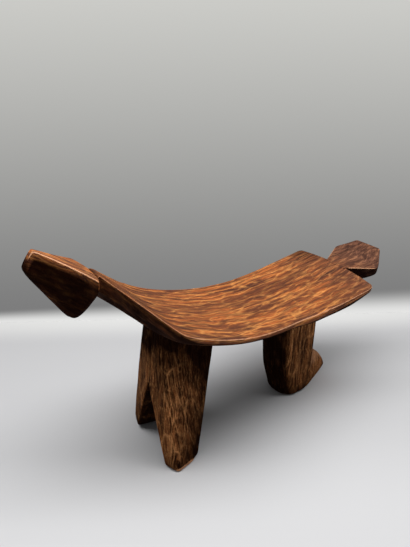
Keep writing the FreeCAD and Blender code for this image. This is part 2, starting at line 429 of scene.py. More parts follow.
def surface_object(name, grid, masks, grain):
    """A closed mesh from a grid of rings: four-sided faces between neighbouring rings, and a fan of
    triangles to the middle of the first and last ring. It carries its masks, and a vector whose X runs along
    the grain."""
    rows, columns = grid.shape[:2]
    index = np.arange(rows * columns).reshape(rows, columns)
    beside = np.roll(index, -1, axis=1)
    sides = np.stack([index[:-1], beside[:-1], beside[1:], index[1:]], axis=-1).reshape(-1, 4)
    poles = np.full((2, columns), rows * columns) + np.array([[0], [1]])
    fans = np.concatenate([
        np.stack([poles[0], beside[0], index[0]], axis=-1),
        np.stack([poles[1], index[-1], beside[-1]], axis=-1),
    ])
    points = with_poles(grid)
    a, b, c, d = (points[sides[:, corner]] for corner in range(4))
    if (np.cross(a, b) * c).sum() + (np.cross(a, c) * d).sum() < 0:
        sides = sides[:, ::-1]
        fans = fans[:, ::-1]
    mesh = bpy.data.meshes.new(name)
    mesh.from_pydata(points.tolist(), [], sides.tolist() + fans.tolist())
    for mask_name, values in masks.items():
        layer = mesh.attributes.new(mask_name, "FLOAT", "POINT")
        layer.data.foreach_set("value", with_poles(values).astype(np.float32))
    layer = mesh.attributes.new("grain", "FLOAT_VECTOR", "POINT")
    layer.data.foreach_set("vector", with_poles(grain).astype(np.float32).ravel())
    mesh.shade_smooth()
    piece = bpy.data.objects.new(name, mesh)
    bpy.context.scene.collection.objects.link(piece)
    return piece


def add_piece(name, nodes, slot, surface, grain):
    """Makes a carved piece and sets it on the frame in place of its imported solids."""
    piece = surface_object(name, *surface, grain)
    piece.data.materials.append(finish_material(slot))
    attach(piece, "root")
    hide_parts(*nodes)


# Heights and widths of the seat, shared by every piece that meets it
SEAT_BLEND = 0.0038  # how softly neck and seat run into each other
FLARE_POWER = 1.45  # bend of the flare from the neck to the shoulders
TWIST_HOLD = 0.060  # length before the rear edge over which the twist is full
TWIST_POWER = 1.4  # how late the twist grows
THICKENING_BACK = 0.060  # how far behind the shoulders the thickening begins
THICKENING_POWER = 0.6  # how early it grows
REAR_RIM_EASE = 0.045  # length over which the side faces grow, and shrink again, over the rear leg
BELLY_POWER = 3.4  # how flat the underside is across
NECK_BEVEL = 0.013  # width of the bevels under the neck
BELLY_BLEND = 0.12  # how softly they end, as a share of the depth


def shoulder_place(seat):
    """Where the seat reaches its full width."""
    return SEAT_FRONT + seat.shoulder_back


def neck_place(seat):
    """Where the neck meets the head."""
    return SEAT_FRONT - seat.neck_length


def low_place(seat):
    """Where the side edges lie lowest."""
    return shoulder_place(seat) + seat.low_back


def edge_height(x, seat):
    """Height of the side edges: a straight neck eased into two parabolas that meet at the lowest place."""
    low = low_place(seat)
    reach = np.where(x < low, seat.low_back, SEAT_BACK - low)
    rise = np.where(x < low, seat.shoulder_rise, seat.tail_rise)
    sag = seat.height + rise * ((x - low) / reach) ** 2
    climb = seat.height + seat.shoulder_rise + (shoulder_place(seat) - x) * math.tan(seat.neck_climb)
    return -smooth_min(-sag, -climb, SEAT_BLEND)


def half_width(x, seat):
    """Half the width: a power-law flare from the neck eased into straight sides with a cosine waist."""
    shoulder = shoulder_place(seat)
    neck = neck_place(seat)
    run = np.maximum(0.0, (x - neck) / (shoulder - neck))
    flare = between(seat.neck_width, seat.width, run ** FLARE_POWER)
    side = between(seat.width, seat.tail_width, share(x, shoulder, SEAT_BACK))
    swing = np.minimum(1.0, np.abs(x - shoulder - seat.waist_back) / seat.waist_reach)
    draw = seat.waist_dip * np.cos(swing * np.pi / 2) ** 2
    return smooth_min(flare / 2, side / 2 - draw, SEAT_BLEND)


def seat_crown(x, seat):
    """How far the middle of the top stands above its edges, growing as a square behind the lowest place."""
    return between(-seat.dish, seat.tail_crown, share(x, low_place(seat), SEAT_BACK) ** 2)


def seat_twist(x, seat):
    """Cross slope of the top, growing as a power from the shoulders and then held to the rear edge."""
    return math.tan(seat.tail_twist) * share(x, shoulder_place(seat), SEAT_BACK - TWIST_HOLD) ** TWIST_POWER


def seat_depth(x, seat):
    """Depth of the underside below the edges, growing towards the neck."""
    grown = share(x, shoulder_place(seat) + THICKENING_BACK, neck_place(seat)) ** THICKENING_POWER
    return between(seat.thickness, seat.neck_thickness, grown)


def seat_rim(x, seat):
    """Height of the side faces, growing towards the neck and over the rear leg."""
    grown = share(x, shoulder_place(seat), neck_place(seat))
    low = low_place(seat)
    over_leg = ease(x, low, low + REAR_RIM_EASE) * (1.0 - ease(x, SEAT_BACK - REAR_RIM_EASE, SEAT_BACK))
    return between(seat.rim, seat.neck_rim, grown) + (seat.rear_rim - seat.rim) * over_leg


def belly_share(x, y, half, seat):
    """Share of the underside's depth that is reached at y: a flat-bottomed power curve, or a bevel along
    the neck."""
    across = np.clip(np.abs(y) / half, 0.0, 1.0)
    rounded = 1.0 - across ** BELLY_POWER
    bevel = smooth_min((1.0 - across) * half / NECK_BEVEL, np.ones_like(across), BELLY_BLEND)
    return between(np.clip(bevel, 0.0, 1.0), rounded, ease(x, SEAT_FRONT, shoulder_place(seat)))


def underside_height(x, y, seat):
    """Height of the seat's underside at x and y."""
    drop = between(seat_rim(x, seat), seat_depth(x, seat), belly_share(x, y, half_width(x, seat), seat))
    return edge_height(x, seat) + seat_twist(x, seat) * y - drop


# Grain: along the wood, across it and up from it
EDGE_STEPS = 400  # places between which the edge is measured
GRAIN_GATHER = 0.7  # how closely the grain follows the narrowing neck
REAR_GRAIN = 0.85  # scale of the rear leg's grain


def edge_length(x, seat):
    """Length of the side edge from the neck to x: the summed steps of its curve."""
    steps = np.linspace(neck_place(seat), SEAT_BACK, EDGE_STEPS)
    rises = edge_height(steps, seat)
    lengths = np.concatenate([[0.0], np.cumsum(np.hypot(np.diff(steps), np.diff(rises)))])
    return np.interp(x, steps, lengths)


def sweep_grain(grid, seat):
    """Grain of seat and tail: along the swept edge, across it, gathered at the neck, and up from it."""
    x, y, z = (grid[..., axis] for axis in range(3))
    held = np.minimum(x, SEAT_BACK)
    gather = (0.5 * seat.width / half_width(held, seat)) ** GRAIN_GATHER
    return np.stack([edge_length(held, seat) + x - held, y * gather, z - edge_height(held, seat)], axis=-1)


def head_grain(grid, head, seat):
    """Grain of the head: along its sloping top, across it, and up from it."""
    x, y, z = (grid[..., axis] for axis in range(3))
    ahead = (neck_place(seat) - x) / math.cos(head.slope)
    return np.stack([-ahead, y, z - head_top(x, head, seat)], axis=-1)


def upright_grain(grid):
    """Grain of the legs: straight up."""
    return grid[..., ::-1]


# Seat and neck: rings and edges
SEAT_RING = (7, (100, 7, 84, 7))  # points on the arc of each corner, and along each side
NECK_ROWS = (90, 0.3)  # rings, and how much closer together they lie at both ends
SEAT_ROWS = (210, 0.75)
KNEE_BACK = 0.02  # where these two sets of rings meet, behind the shoulders
EDGE_WOBBLE = 0.0005  # how far the edges waver
NEAR_WOBBLE = (0.021, 3)  # length and seed of the waver
FAR_WOBBLE = (0.023, 4)
FAR_SPARE = 0.0030  # how much fuller the far side is
NECK_TUCK = 0.0012  # how much slimmer it is at the head
UNDERCUT = 0.001  # how far the side faces lean in
LOWER_ARRIS = 1.5  # radius of the lower edges, in radii of the upper ones
SOFTER_FROM = (0.0, 0.03)  # where the upper edges grow softer, behind the shoulders
SOFTER_UNTIL = (-0.09, -0.03)  # where they grow crisp again, before the rear edge
NOSE_DROP = 0.0028  # how far the top of the neck drops at the head
NOSE_LENGTH = 0.0045  # length of that drop in the middle
NOSE_SKEW = 0.7  # how much longer it is on the far edge
THROAT_SLANT = 0.0035  # how far the end of the neck slants forward at its underside
THROAT_REACH = 1.2  # depth to which it slants, in thicknesses of the neck
BESIDE_TAIL = (-0.002, 0.001)  # where the rear edge comes free of the tail, about its half width

# Seat and neck: tool marks, wear with painted highlights, and patina with painted shade. Tones are shares,
# runs are metres from a place
SEAT_HOLLOWS = (0.0003, (0.045, 0.016, 0.016), 11)  # depth, size of a mark along X, Y and Z, and seed
SEAT_RIPPLE = (0.0001, (0.018, 0.006, 0.006), 12)
REAR_CALM = (-0.012, -0.002)  # where the marks end, before the rear edge
# Shares of normals: faces turned up take painted light on the rear edge, faces turned down and sideways take
# painted shade
SEAT_UP = (0.1, 0.6)  # part of a normal from which a face begins to count, and counts in full
SEAT_DOWN = (0.05, 0.5)
SEAT_SIDE = (0.55, 0.95)
SEAT_WORN_LIT_EDGES = ((0, 1), 0.8, 0.05)  # worn corners with their painted highlight, points over which it fades, share of the arc it holds
# Worn colour as wear and painted light on the upward faces of the rounded rear edge
REAR_EDGE_WEAR_AND_LIGHT = 0.9
REAR_EDGE_REACH = 0.6  # in radii of the rear edge
BAND_THIN = 0.0004  # least height of the pale lit band under the edges, below which painted shade sets in
BAND_NECK = 0.0033  # how much higher it is at the head
BAND_BACK = 0.0056  # how much higher it is along the seat
BAND_FADE = 0.003  # height over which it turns to painted shade
BAND_NECK_END = 0.006  # where the band of the neck has run out, behind the front of the seat
BAND_GROWS = (-0.004, 0.03)  # where the band of the seat grows, about the shoulders
BAND_SHRINKS = (-0.09, -0.01)  # where it shrinks, before the rear edge
BAND_SHRINK_SHARE = 0.5
# Painted shade with patina on the neck's side faces below its edges
NECK_TONE = 0.74
NECK_DEEPER = 0.18  # how much darker with painted shade the neck is under its side faces
NECK_DEEPER_RUN = (0.7, 1.3)  # in heights of the side faces
NECK_FADE_START = -0.012  # where the neck's own tone begins to fade, from the front of the seat
NECK_FADE_END = -0.008  # where it is gone, from the shoulders
FRONT_TONE = 0.14
FRONT_RUN = (0.0, 0.06)
# Painted shade on faces turned sideways
SIDE_TONE = 0.15
HANDLED_TONE = 0.42  # the far rear corner, where hands have darkened it
HANDLED_ACROSS = (0.012, 0.050)
HANDLED_ALONG = (-0.040, -0.008)


def beside_tail(y, tail):
    """1 where the seat's rear edge stands free, 0 where the tail grows out of it."""
    return ease_from(np.abs(y), tail.root_half, BESIDE_TAIL)


def seat_corners(x, half, seat):
    """Corners of the seat's sections: the half width each way with a wavering edge, and the rim below it."""
    path = np.stack([x, 0.0 * x, 0.0 * x], axis=-1)
    near = half + EDGE_WOBBLE * soft_noise(path, *NEAR_WOBBLE)
    spare = between(-NECK_TUCK, FAR_SPARE, share(x, neck_place(seat), SEAT_FRONT))
    far = half + spare + EDGE_WOBBLE * soft_noise(path, *FAR_WOBBLE)
    rim = seat_rim(x, seat)
    return corner_lines(
        (x, -near, 0.0), (x, far, 0.0), (x, far - UNDERCUT, -rim), (x, UNDERCUT - near, -rim))


def bow_sections(grid, half, seat, tail):
    """Lifts the seat's flat sections into place: the top bowed by the crown and rounded off at the nose and
    the rear edge, the underside bowed by the belly, and the neck slanted at the throat."""
    x, y = (grid[..., axis] for axis in range(2))
    neck = neck_place(seat)
    arc_points, edge_points = SEAT_RING
    column = np.arange(grid.shape[1])
    top_points = 2 * arc_points + edge_points[0]
    belly_from = top_points + edge_points[1]
    upper = column < top_points
    lower = (column >= belly_from) & (column < belly_from + 2 * arc_points + edge_points[2])
    across = np.clip(np.abs(y) / half, 0.0, 1.0)
    bow = seat_crown(x, seat) * (1.0 - across ** 2)
    belly = (seat_depth(x, seat) - seat_rim(x, seat)) * belly_share(x, y, half, seat)
    worn = corner_drop(SEAT_BACK - x, seat.rear_round) * beside_tail(y, tail)
    nose_length = NOSE_LENGTH * (1.0 + NOSE_SKEW * y / half)
    nose = NOSE_DROP * corner_drop(x - neck, nose_length) / nose_length
    grid[..., 2] += edge_height(x, seat) + seat_twist(x, seat) * y + (bow - nose - worn) * upper
    grid[..., 2] -= (belly - worn) * lower
    below = (edge_height(x, seat) - grid[..., 2]) / seat.neck_thickness
    grid[..., 0] -= THROAT_SLANT * share(x, SEAT_FRONT, neck) * np.clip(below, 0.0, THROAT_REACH)


def seat_grid(seat, tail):
    """Rings round seat and neck: a rounded four-sided section at each station, lifted and bowed."""
    shoulder = shoulder_place(seat)
    knee = shoulder + KNEE_BACK
    front = stations(neck_place(seat), knee, *NECK_ROWS)
    x = np.concatenate([front[:-1], stations(knee, SEAT_BACK, *SEAT_ROWS)])
    half = half_width(x, seat) - corner_drop(SEAT_BACK - x, seat.tail_corner)
    softer = 1.0 + ease_from(x, shoulder, SOFTER_FROM) * (1.0 - ease_from(x, SEAT_BACK, SOFTER_UNTIL))
    radii = seat.arris * corner_values(softer, softer, LOWER_ARRIS, LOWER_ARRIS)
    grid = rounded_rings(seat_corners(x, half, seat), radii, SEAT_RING)
    bow_sections(grid, half[:, None], seat, tail)
    return grid


def seat_patina_and_shade(x, y, below, normals, seat):
    """Patina and painted shade of seat and neck, at a depth below the edges: painted shade under a pale lit
    band along the edges and on faces turned down or sideways, less so along the neck, a little towards the
    front and more at the far rear corner."""
    shoulder = shoulder_place(seat)
    band = BAND_THIN + BAND_NECK * (1.0 - ease(x, neck_place(seat), SEAT_FRONT + BAND_NECK_END))
    shrink = 1.0 - BAND_SHRINK_SHARE * ease_from(x, SEAT_BACK, BAND_SHRINKS)
    band = band + BAND_BACK * ease_from(x, shoulder, BAND_GROWS) * shrink
    front = FRONT_TONE * (1.0 - ease_from(x, shoulder, FRONT_RUN))
    handled = HANDLED_TONE * ease(y, *HANDLED_ACROSS) * ease_from(x, SEAT_BACK, HANDLED_ALONG)
    # Painted shade on faces turned sideways and down, and below the pale lit band along the edges
    side = SIDE_TONE * ease(np.abs(normals[..., 1]), *SEAT_SIDE)
    under = ease(-normals[..., 2], *SEAT_DOWN)
    patina = np.max([under, front, handled, side, ease_from(below, band, (0.0, BAND_FADE))], axis=0)
    rim = seat_rim(x, seat)
    # Painted shade with patina on the neck's sides, deeper lower down
    deeper = NECK_DEEPER * ease(below, NECK_DEEPER_RUN[0] * rim, NECK_DEEPER_RUN[1] * rim)
    neck_tone = ease(below, 0.0, BAND_FADE) * (NECK_TONE + deeper)
    on_neck = 1.0 - ease(x, SEAT_FRONT + NECK_FADE_START, shoulder + NECK_FADE_END)
    return between(patina, np.maximum(neck_tone, front), on_neck)


def seat_surface(seat, tail):
    """The seat and neck with shallow adze hollows, and masks for wear with painted highlights, and for
    patina with painted shade.
    """
    grid = seat_grid(seat, tail)
    normals = ring_normals(grid)
    x = grid[..., 0]
    marks = tool_marks(grid, *SEAT_HOLLOWS) + tool_marks(grid, *SEAT_RIPPLE)
    grid = pushed(grid, normals, marks * (1.0 - ease_from(x, SEAT_BACK, REAR_CALM)))
    y = grid[..., 1]
    rear = np.exp(-((SEAT_BACK - x) / (REAR_EDGE_REACH * seat.rear_round)) ** 2)
    rear = rear * beside_tail(y, tail) * ease(normals[..., 2], *SEAT_UP)
    # Worn colour with painted highlights on the top edges and the rounded rear edge
    wear = np.maximum(arris_mask(SEAT_RING, *SEAT_WORN_LIT_EDGES), REAR_EDGE_WEAR_AND_LIGHT * rear)
    below = edge_height(x, seat) + seat_twist(x, seat) * y - grid[..., 2]
    return carved(grid, wear, seat_patina_and_shade(x, y, below, normals, seat))


# Head
HEAD_RING = (7, (30, 26, 8, 4, 8, 26))
HEAD_ROWS = (150, 0.55)
HEAD_INSET = 0.0003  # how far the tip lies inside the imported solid
HEAD_START = 0.0002  # from the tip to the first ring
BROW_BLEND = 0.0022  # how softly the top turns into the end facet
SNOUT_LEAST = 0.0012  # least height of a ring
CHEEK_POWER = 1.6  # bend of the outline from brow to ear
NAPE_BLEND = 0.002  # how softly the ears turn
NAPE_SPARE = 0.003  # how much wider than the neck the nape is on the far side
NAPE_KEEL_HALF = 0.008  # half width of the lower edge at the neck
BEVEL_SHARE = 0.3  # most of the height that the keel bevel may take
BEVEL_SWELL = 0.15  # how far the sides swell above the bevel, in heights of it
BEVEL_DRAW = 0.25  # how far the keel draws in below it
KEEL_LEAST = 0.0008  # least half width of the keel
BEVEL_ROUND = 0.002
KEEL_ROUND = 0.0015
HEAD_MARKS = (0.00035, (0.020, 0.012, 0.008), 21)
HEAD_TOP_MARKS = 0.3  # depth of the marks on the top, as a share of those on the sides
# Faces turned down and sideways take painted shade
HEAD_DOWN = (0.0, 0.4)
HEAD_SIDE = (0.3, 0.8)
# Worn top edges with their painted highlight
HEAD_WORN_LIT_EDGES = ((0, 1), 1.1, 0.12)
EAR_WEAR_AND_HIGHLIGHT_STOPS = (-0.001, 0.002)  # where the wear and painted highlight of the top edges end, about the near ear
# Painted light caught by the keel's lower edges, laid on in the worn colour
JAW_LIT_EDGES = ((2, 5), 3.0, 0.3)
JAW_PAINTED_LIGHT = 0.3
FACET_START = 0.2  # where the dark of the end facet begins to fade, as a share of its length
FACET_TONE = 0.97
FACET_UNWORN_UNLIT = 0.7  # how much of the wear and painted highlight is missing there
HEAD_BAND = (0.0025, 0.0085)  # depths under the top over which the sides turn dark, as patina and painted shade


def head_top(x, head, seat):
    """Height of the head's flat top at x: a straight slope up from the neck."""
    neck = neck_place(seat)
    return edge_height(np.array(neck), seat) - head.step + (neck - x) * math.tan(head.slope)


def head_profile(x, tip, head, seat):
    """Top and keel heights of the head. The top is the lesser of the slope and the end facet, the keel the
    greater of the chin line and the throat line, which swells as a parabola, and a hyperbola blunts the
    tip between them."""
    neck = neck_place(seat)
    brow = tip + head.brow_back
    snout = head_top(tip, head, seat) - head.snout_drop
    upper = snout + head.snout_blunt / 2
    lower = snout - head.snout_blunt / 2
    facet = upper + (x - tip) * (head_top(brow, head, seat) - upper) / head.brow_back
    top = smooth_min(head_top(x, head, seat), facet, BROW_BLEND)
    jaw = neck - head.jaw_ahead
    throat = neck - head.throat_ahead
    jaw_z = head_top(jaw, head, seat) - head.jaw_drop
    throat_z = edge_height(np.array(throat), seat) - seat.neck_thickness
    chin_line = lower + (x - tip) * (jaw_z - lower) / (jaw - tip)
    along = share(x, jaw, throat)
    throat_line = jaw_z + (x - jaw) * (throat_z - jaw_z) / (throat - jaw)
    throat_line = throat_line - 4.0 * head.throat_bulge * along * (1.0 - along)
    keel = -smooth_min(-chin_line, -throat_line, head.jaw_round)
    middle = 0.5 * (top + keel)
    tall = np.sqrt(np.maximum((top - keel) ** 2 - head.snout_blunt ** 2, SNOUT_LEAST ** 2))
    return middle + 0.5 * tall, middle - 0.5 * tall


def head_half(x, brow, ear_ahead, head, seat):
    """Half width of the head's top to one side: a power curve from brow to ear, then a straight nape."""
    neck = neck_place(seat)
    run = np.maximum(0.0, (x - brow) / (neck - ear_ahead - brow))
    cheek = between(head.brow_half, head.ear_half, run ** CHEEK_POWER)
    nape_half = seat.neck_width / 2 + NAPE_SPARE * share(ear_ahead, head.near_ear, head.far_ear)
    nape = nape_half + (neck - x) * (head.ear_half - nape_half) / ear_ahead
    return smooth_min(cheek, nape, NAPE_BLEND)


def head_side(x, top_half, levels, head, seat):
    """Half widths of one side of the head at its top, above the keel bevel and at the keel: a leaning line
    that swells above the bevel and draws in below it."""
    neck = neck_place(seat)
    keel_half = between(head.keel_half, NAPE_KEEL_HALF, share(x, neck - head.near_ear, neck))
    top = head_top(x, head, seat)
    upper, middle, lower = (between(top_half, keel_half, share(top - z, 0.0, head.jaw_drop)) for z in levels)
    bevel = levels[1] - levels[2]
    return upper, middle + BEVEL_SWELL * bevel, np.maximum(lower - BEVEL_DRAW * bevel, KEEL_LEAST)


def head_grid(head, seat):
    """Rings across the head, a flat top and two leaning sides with a bevelled keel, and its top line."""
    tip = HEAD_TIP + HEAD_INSET
    brow = tip + head.brow_back
    x = stations(tip + HEAD_START, neck_place(seat), *HEAD_ROWS)
    top, keel = head_profile(x, tip, head, seat)
    levels = (top, keel + np.minimum(head.keel_bevel, BEVEL_SHARE * (top - keel)), keel)
    near, far = (head_side(x, head_half(x, brow, ear, head, seat), levels, head, seat)
                 for ear in (head.near_ear, head.far_ear))
    near_lines = [(x, -half, z) for half, z in zip(near, levels)]
    far_lines = [(x, half, z) for half, z in zip(far, levels)]
    corners = corner_lines(near_lines[0], *far_lines, *near_lines[:0:-1])
    radii = np.array([head.arris, head.arris, BEVEL_ROUND, KEEL_ROUND, KEEL_ROUND, BEVEL_ROUND])
    return rounded_rings(corners, radii, HEAD_RING), top


def head_surface(head, seat):
    """The head with knife marks, and masks for wear with painted highlights, and for patina with painted
    shade.
    """
    grid, top = head_grid(head, seat)
    normals = ring_normals(grid)
    side = ease(np.abs(normals[..., 1]), *HEAD_SIDE)
    grid = pushed(grid, normals, tool_marks(grid, *HEAD_MARKS) * between(HEAD_TOP_MARKS, 1.0, side))
    x = grid[..., 0]
    facet = 1.0 - ease(x, HEAD_TIP + FACET_START * head.brow_back, HEAD_TIP + head.brow_back)
    ear = neck_place(seat) - head.near_ear
    # Worn colour as wear with a painted highlight on the top edges, and as painted light on the keel
    wear = arris_mask(HEAD_RING, *HEAD_WORN_LIT_EDGES) * (1.0 - ease_from(x, ear, EAR_WEAR_AND_HIGHLIGHT_STOPS))
    wear = np.maximum(wear * (1.0 - FACET_UNWORN_UNLIT * facet), JAW_PAINTED_LIGHT * arris_mask(HEAD_RING, *JAW_LIT_EDGES))
    # Patina with painted shade: the sides darken below the top, and faces turned down are dark
    cheek = side * ease(top[:, None] - grid[..., 2], *HEAD_BAND)
    patina = np.max([cheek, ease(-normals[..., 2], *HEAD_DOWN), FACET_TONE * facet], axis=0)
    return carved(grid, wear, patina)


# Tail
TAIL_RING = (6, (60, 5, 24, 24, 5))
TAIL_ROWS = (110, 0.5)
TAIL_SUNK = 0.004  # how far it reaches into the seat
TAIL_OVER = 0.001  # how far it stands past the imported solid
TAIL_BLEND = 0.004  # how softly the outline turns at its widest place
TAIL_END_ROUND = 0.004  # radius of the end's corners seen from above
TAIL_END_ROLL = 2.0  # radius of the end's upper and lower edges, in radii of the worn edges
LIFT_BLEND = 0.0015  # how softly the lift begins
ROOT_STEP = 0.0015  # how far the root lies inside the seat's underside, and its side faces inside that
BELLY_LEAST = 0.0005  # least depth of the underside below the side faces
TAIL_ROUNDS = np.array([1.0, 1.0, 1.5, 6.0, 1.5])  # radii of the corners, in radii of the worn edges
TAIL_FACETS = (0.00035, (0.022, 0.016, 0.016), 31)
FACET_RUN = (0.0, 0.012)  # where the knife facets begin, behind the seat
# Faces turned down and sideways take painted shade
TAIL_DOWN = (-0.1, 0.4)
TAIL_SIDE = (0.5, 0.9)
# Worn edges with their painted highlight
TAIL_WORN_LIT_EDGES = ((0, 1), 1.5, 0.15)
TAIL_WEAR_AND_HIGHLIGHT_STARTS = (0.0, 0.006)  # where the wear and painted highlight begin, behind the seat
TAIL_WEAR_AND_HIGHLIGHT_LOST = 0.55  # how much of it is lost behind the widest place
TAIL_WEAR_AND_HIGHLIGHT_HOLDS = 0.8  # how far it holds, as a share of the way to the widest place


def tail_grid(tail, seat):
    """Rings across the tail plate: straight lines between root, widest place and end for its width, lift,
    cross slope and depth, the first two eased at the corner, and the end rounded off above and below."""
    end = TAIL_END + TAIL_OVER
    x = stations(SEAT_BACK - TAIL_SUNK, end, *TAIL_ROWS)
    back = x - SEAT_BACK
    length = end - SEAT_BACK
    wide = tail.wide_back
    behind = share(back, wide, length)
    ahead = share(back, 0.0, wide)
    flare = between(tail.root_half, tail.wide_half, back / wide)
    close = between(tail.wide_half, tail.end_half, (back - wide) / (length - wide))
    half = smooth_min(np.maximum(flare, tail.root_half), close, TAIL_BLEND)
    half = half - corner_drop(end - x, TAIL_END_ROUND)
    root_slope, wide_slope, end_slope = (
        math.tan(twist) for twist in (seat.tail_twist, tail.wide_twist, tail.end_twist))
    cross = between(root_slope, wide_slope, ahead) + (end_slope - wide_slope) * behind
    across = 2 * tail.root_half / seat.tail_width
    rise = seat_crown(np.array(SEAT_BACK), seat) * (1.0 - across ** 2)
    lift = -smooth_min(np.zeros_like(x), -tail.lift * (back - wide) / (length - wide), LIFT_BLEND)
    end_drop = corner_drop(end - x, TAIL_END_ROLL * tail.arris)
    top = edge_height(np.array(SEAT_BACK), seat) + rise + np.maximum(lift, 0.0) - end_drop
    root_belly = rise + seat.thickness - ROOT_STEP
    belly = between(root_belly, tail.belly, ahead) + (tail.end_belly - tail.belly) * behind
    rim = between(root_belly - ROOT_STEP, tail.rim, ahead ** 2) - 2 * end_drop
    low = half - UNDERCUT
    corners = corner_lines(
        (x, -half, top - cross * half), (x, half, top + cross * half),
        (x, low, top + cross * low - rim), (x, 0.0, top - np.maximum(belly, rim + BELLY_LEAST)),
        (x, -low, top - cross * low - rim))
    return rounded_rings(corners, TAIL_ROUNDS * tail.arris, TAIL_RING)


def tail_surface(tail, seat):
    """The tail plate with shallow knife facets, and masks for wear with painted highlights, and for painted
    shade on faces turned down and sideways.
    """
    grid = tail_grid(tail, seat)
    normals = ring_normals(grid)
    facets = tool_marks(grid, *TAIL_FACETS) * ease_from(grid[..., 0], SEAT_BACK, FACET_RUN)
    grid = pushed(grid, normals, facets)
    x = grid[..., 0]
    fall = ease(x, SEAT_BACK + TAIL_WEAR_AND_HIGHLIGHT_HOLDS * tail.wide_back, SEAT_BACK + tail.wide_back)
    wear = arris_mask(TAIL_RING, *TAIL_WORN_LIT_EDGES) * (1.0 - TAIL_WEAR_AND_HIGHLIGHT_LOST * fall)
    wear = wear * ease_from(x, SEAT_BACK, TAIL_WEAR_AND_HIGHLIGHT_STARTS)
    # Painted shade on faces turned sideways and down
    side = ease(np.abs(normals[..., 1]), *TAIL_SIDE)
    return carved(grid, wear, np.maximum(ease(-normals[..., 2], *TAIL_DOWN), side))


# Legs
LEG_CORNERS = 4  # corners of each ring
TOP_STEPS = 12  # steps in which a corner finds the underside of the seat
SUNK = 0.003  # how far the legs reach into the seat
LEG_EVENNESS = 0.25  # how evenly the rings are spaced, 1 being even


def leg_shares(count):
    """Shares of a leg's height for its rings, closer together at the foot: part even, part square."""
    t = np.linspace(0.0, 1.0, count)
    return LEG_EVENNESS * t + (1.0 - LEG_EVENNESS) * t ** 2


def leg_corners(corners_at, shares, seat):
    """Corners of rings that lie level on the floor and just inside the seat at the top. Each corner's own
    top is found by stepping towards the underside, and every ring takes the same share of that height."""
    columns = []
    for corner in range(LEG_CORNERS):
        top = seat.height
        for _ in range(TOP_STEPS):
            x, y = corners_at(np.array([top]))[0, corner, :2]
            top = float(underside_height(x, y, seat)) + SUNK
        columns.append(corners_at(shares * top)[:, corner])
    return np.stack(columns, axis=1)


def leg_marks(grid, flutes, hollows, seed):
    """Upright flutes and adze hollows together, as shares of the flute depth, flat at the sole."""
    return (tool_marks(grid, *flutes, seed) + tool_marks(grid, *hollows, seed + 1)) * off_the_floor(grid)


# Front legs. Rounds and fullness are pairs: the value on the floor and the value higher up
FORK_LEGS = (("front_leg_near", -1, 41), ("front_leg_far", 1, 45))  # node, side and seed
FORK_RING = (8, (26, 34, 22, 26))
FORK_ROWS = 170
PROW_LEAN = 0.123  # how far the front ridge leans back, in heights
PROW_ROUND = 0.005  # how softly the ridge is eased
PROW_START = 0.75  # height from which it is eased, as a share of the vee
LEG_SPLAY = 0.19  # how far each leg leans in as it rises, in heights
LEG_REAR_LEAN = 0.26  # how far its rear leans back as it rises
FOOT_AHEAD = 0.001  # how far its outer front corner stands before the shoulders
FORK_CORNER_HEIGHT = 0.12  # height at which the corners have their upper values
FORK_FRONT_ROUND = (0.0075, 0.0120)
FORK_REAR_ROUND = (0.0045, 0.0085)
FORK_FRONT_FULLNESS = (0.52, 0.195)
FORK_REAR_FULLNESS = 0.845
VEE_ROUND = (0.0035, 0.0005)
VEE_RUN = (0.7, 1.05)  # heights between the two, as shares of the vee
FORK_FLUTES = (0.6, (0.007, 0.007, 0.090))  # depth in flute depths, and size along X, Y and Z
FORK_HOLLOWS = (0.8, (0.020, 0.020, 0.034))
MIDDLE_CALM = (0.0005, 0.004)  # where the marks begin, beside the middle plane
LEDGE_LENGTH = 0.95  # in lengths of the foot
LEDGE_FADE = (-0.010, 0.0)  # where the ledge runs out, before its end
LEDGE_EDGE = (0.15, 0.35)  # part of the ledge from which it is bare
LEDGE_WEAR = 0.9
FORK_OUT = (0.5, 0.8)
# Painted shade on faces inside the fork, on the rear faces and on the rear outer edge
FORK_IN = (0.3, 0.8)
FORK_IN_TONE = 0.8
FORK_BACK = (0.2, 0.7)
FORK_BACK_TONE = 0.6
FORK_REAR_SHADED_EDGE = ((2,), 13.0, 0.3)
FORK_CORNER_TONE = 0.75
# Worn colour with a painted highlight on the lower front ridge and the toe
RIDGE_WORN_LIT_EDGE = ((1,), 5.0, 0.3)
RIDGE_WEAR_AND_HIGHLIGHT = 0.35
RIDGE_RUN = (0.05, 0.12)  # heights over which the wear and painted highlight end
TOE_WEAR_AND_HIGHLIGHT = 0.4
TOE_REACH = 0.004
FORK_SHADE_RUN = (0.010, 0.070)  # depths under the seat over which its painted shadow ends
# Darker far leg, and darker towards the floor
FORK_FAR_TONE = 0.26
FORK_FOOT_TONE = 0.7
FORK_FOOT_REACH = 0.026


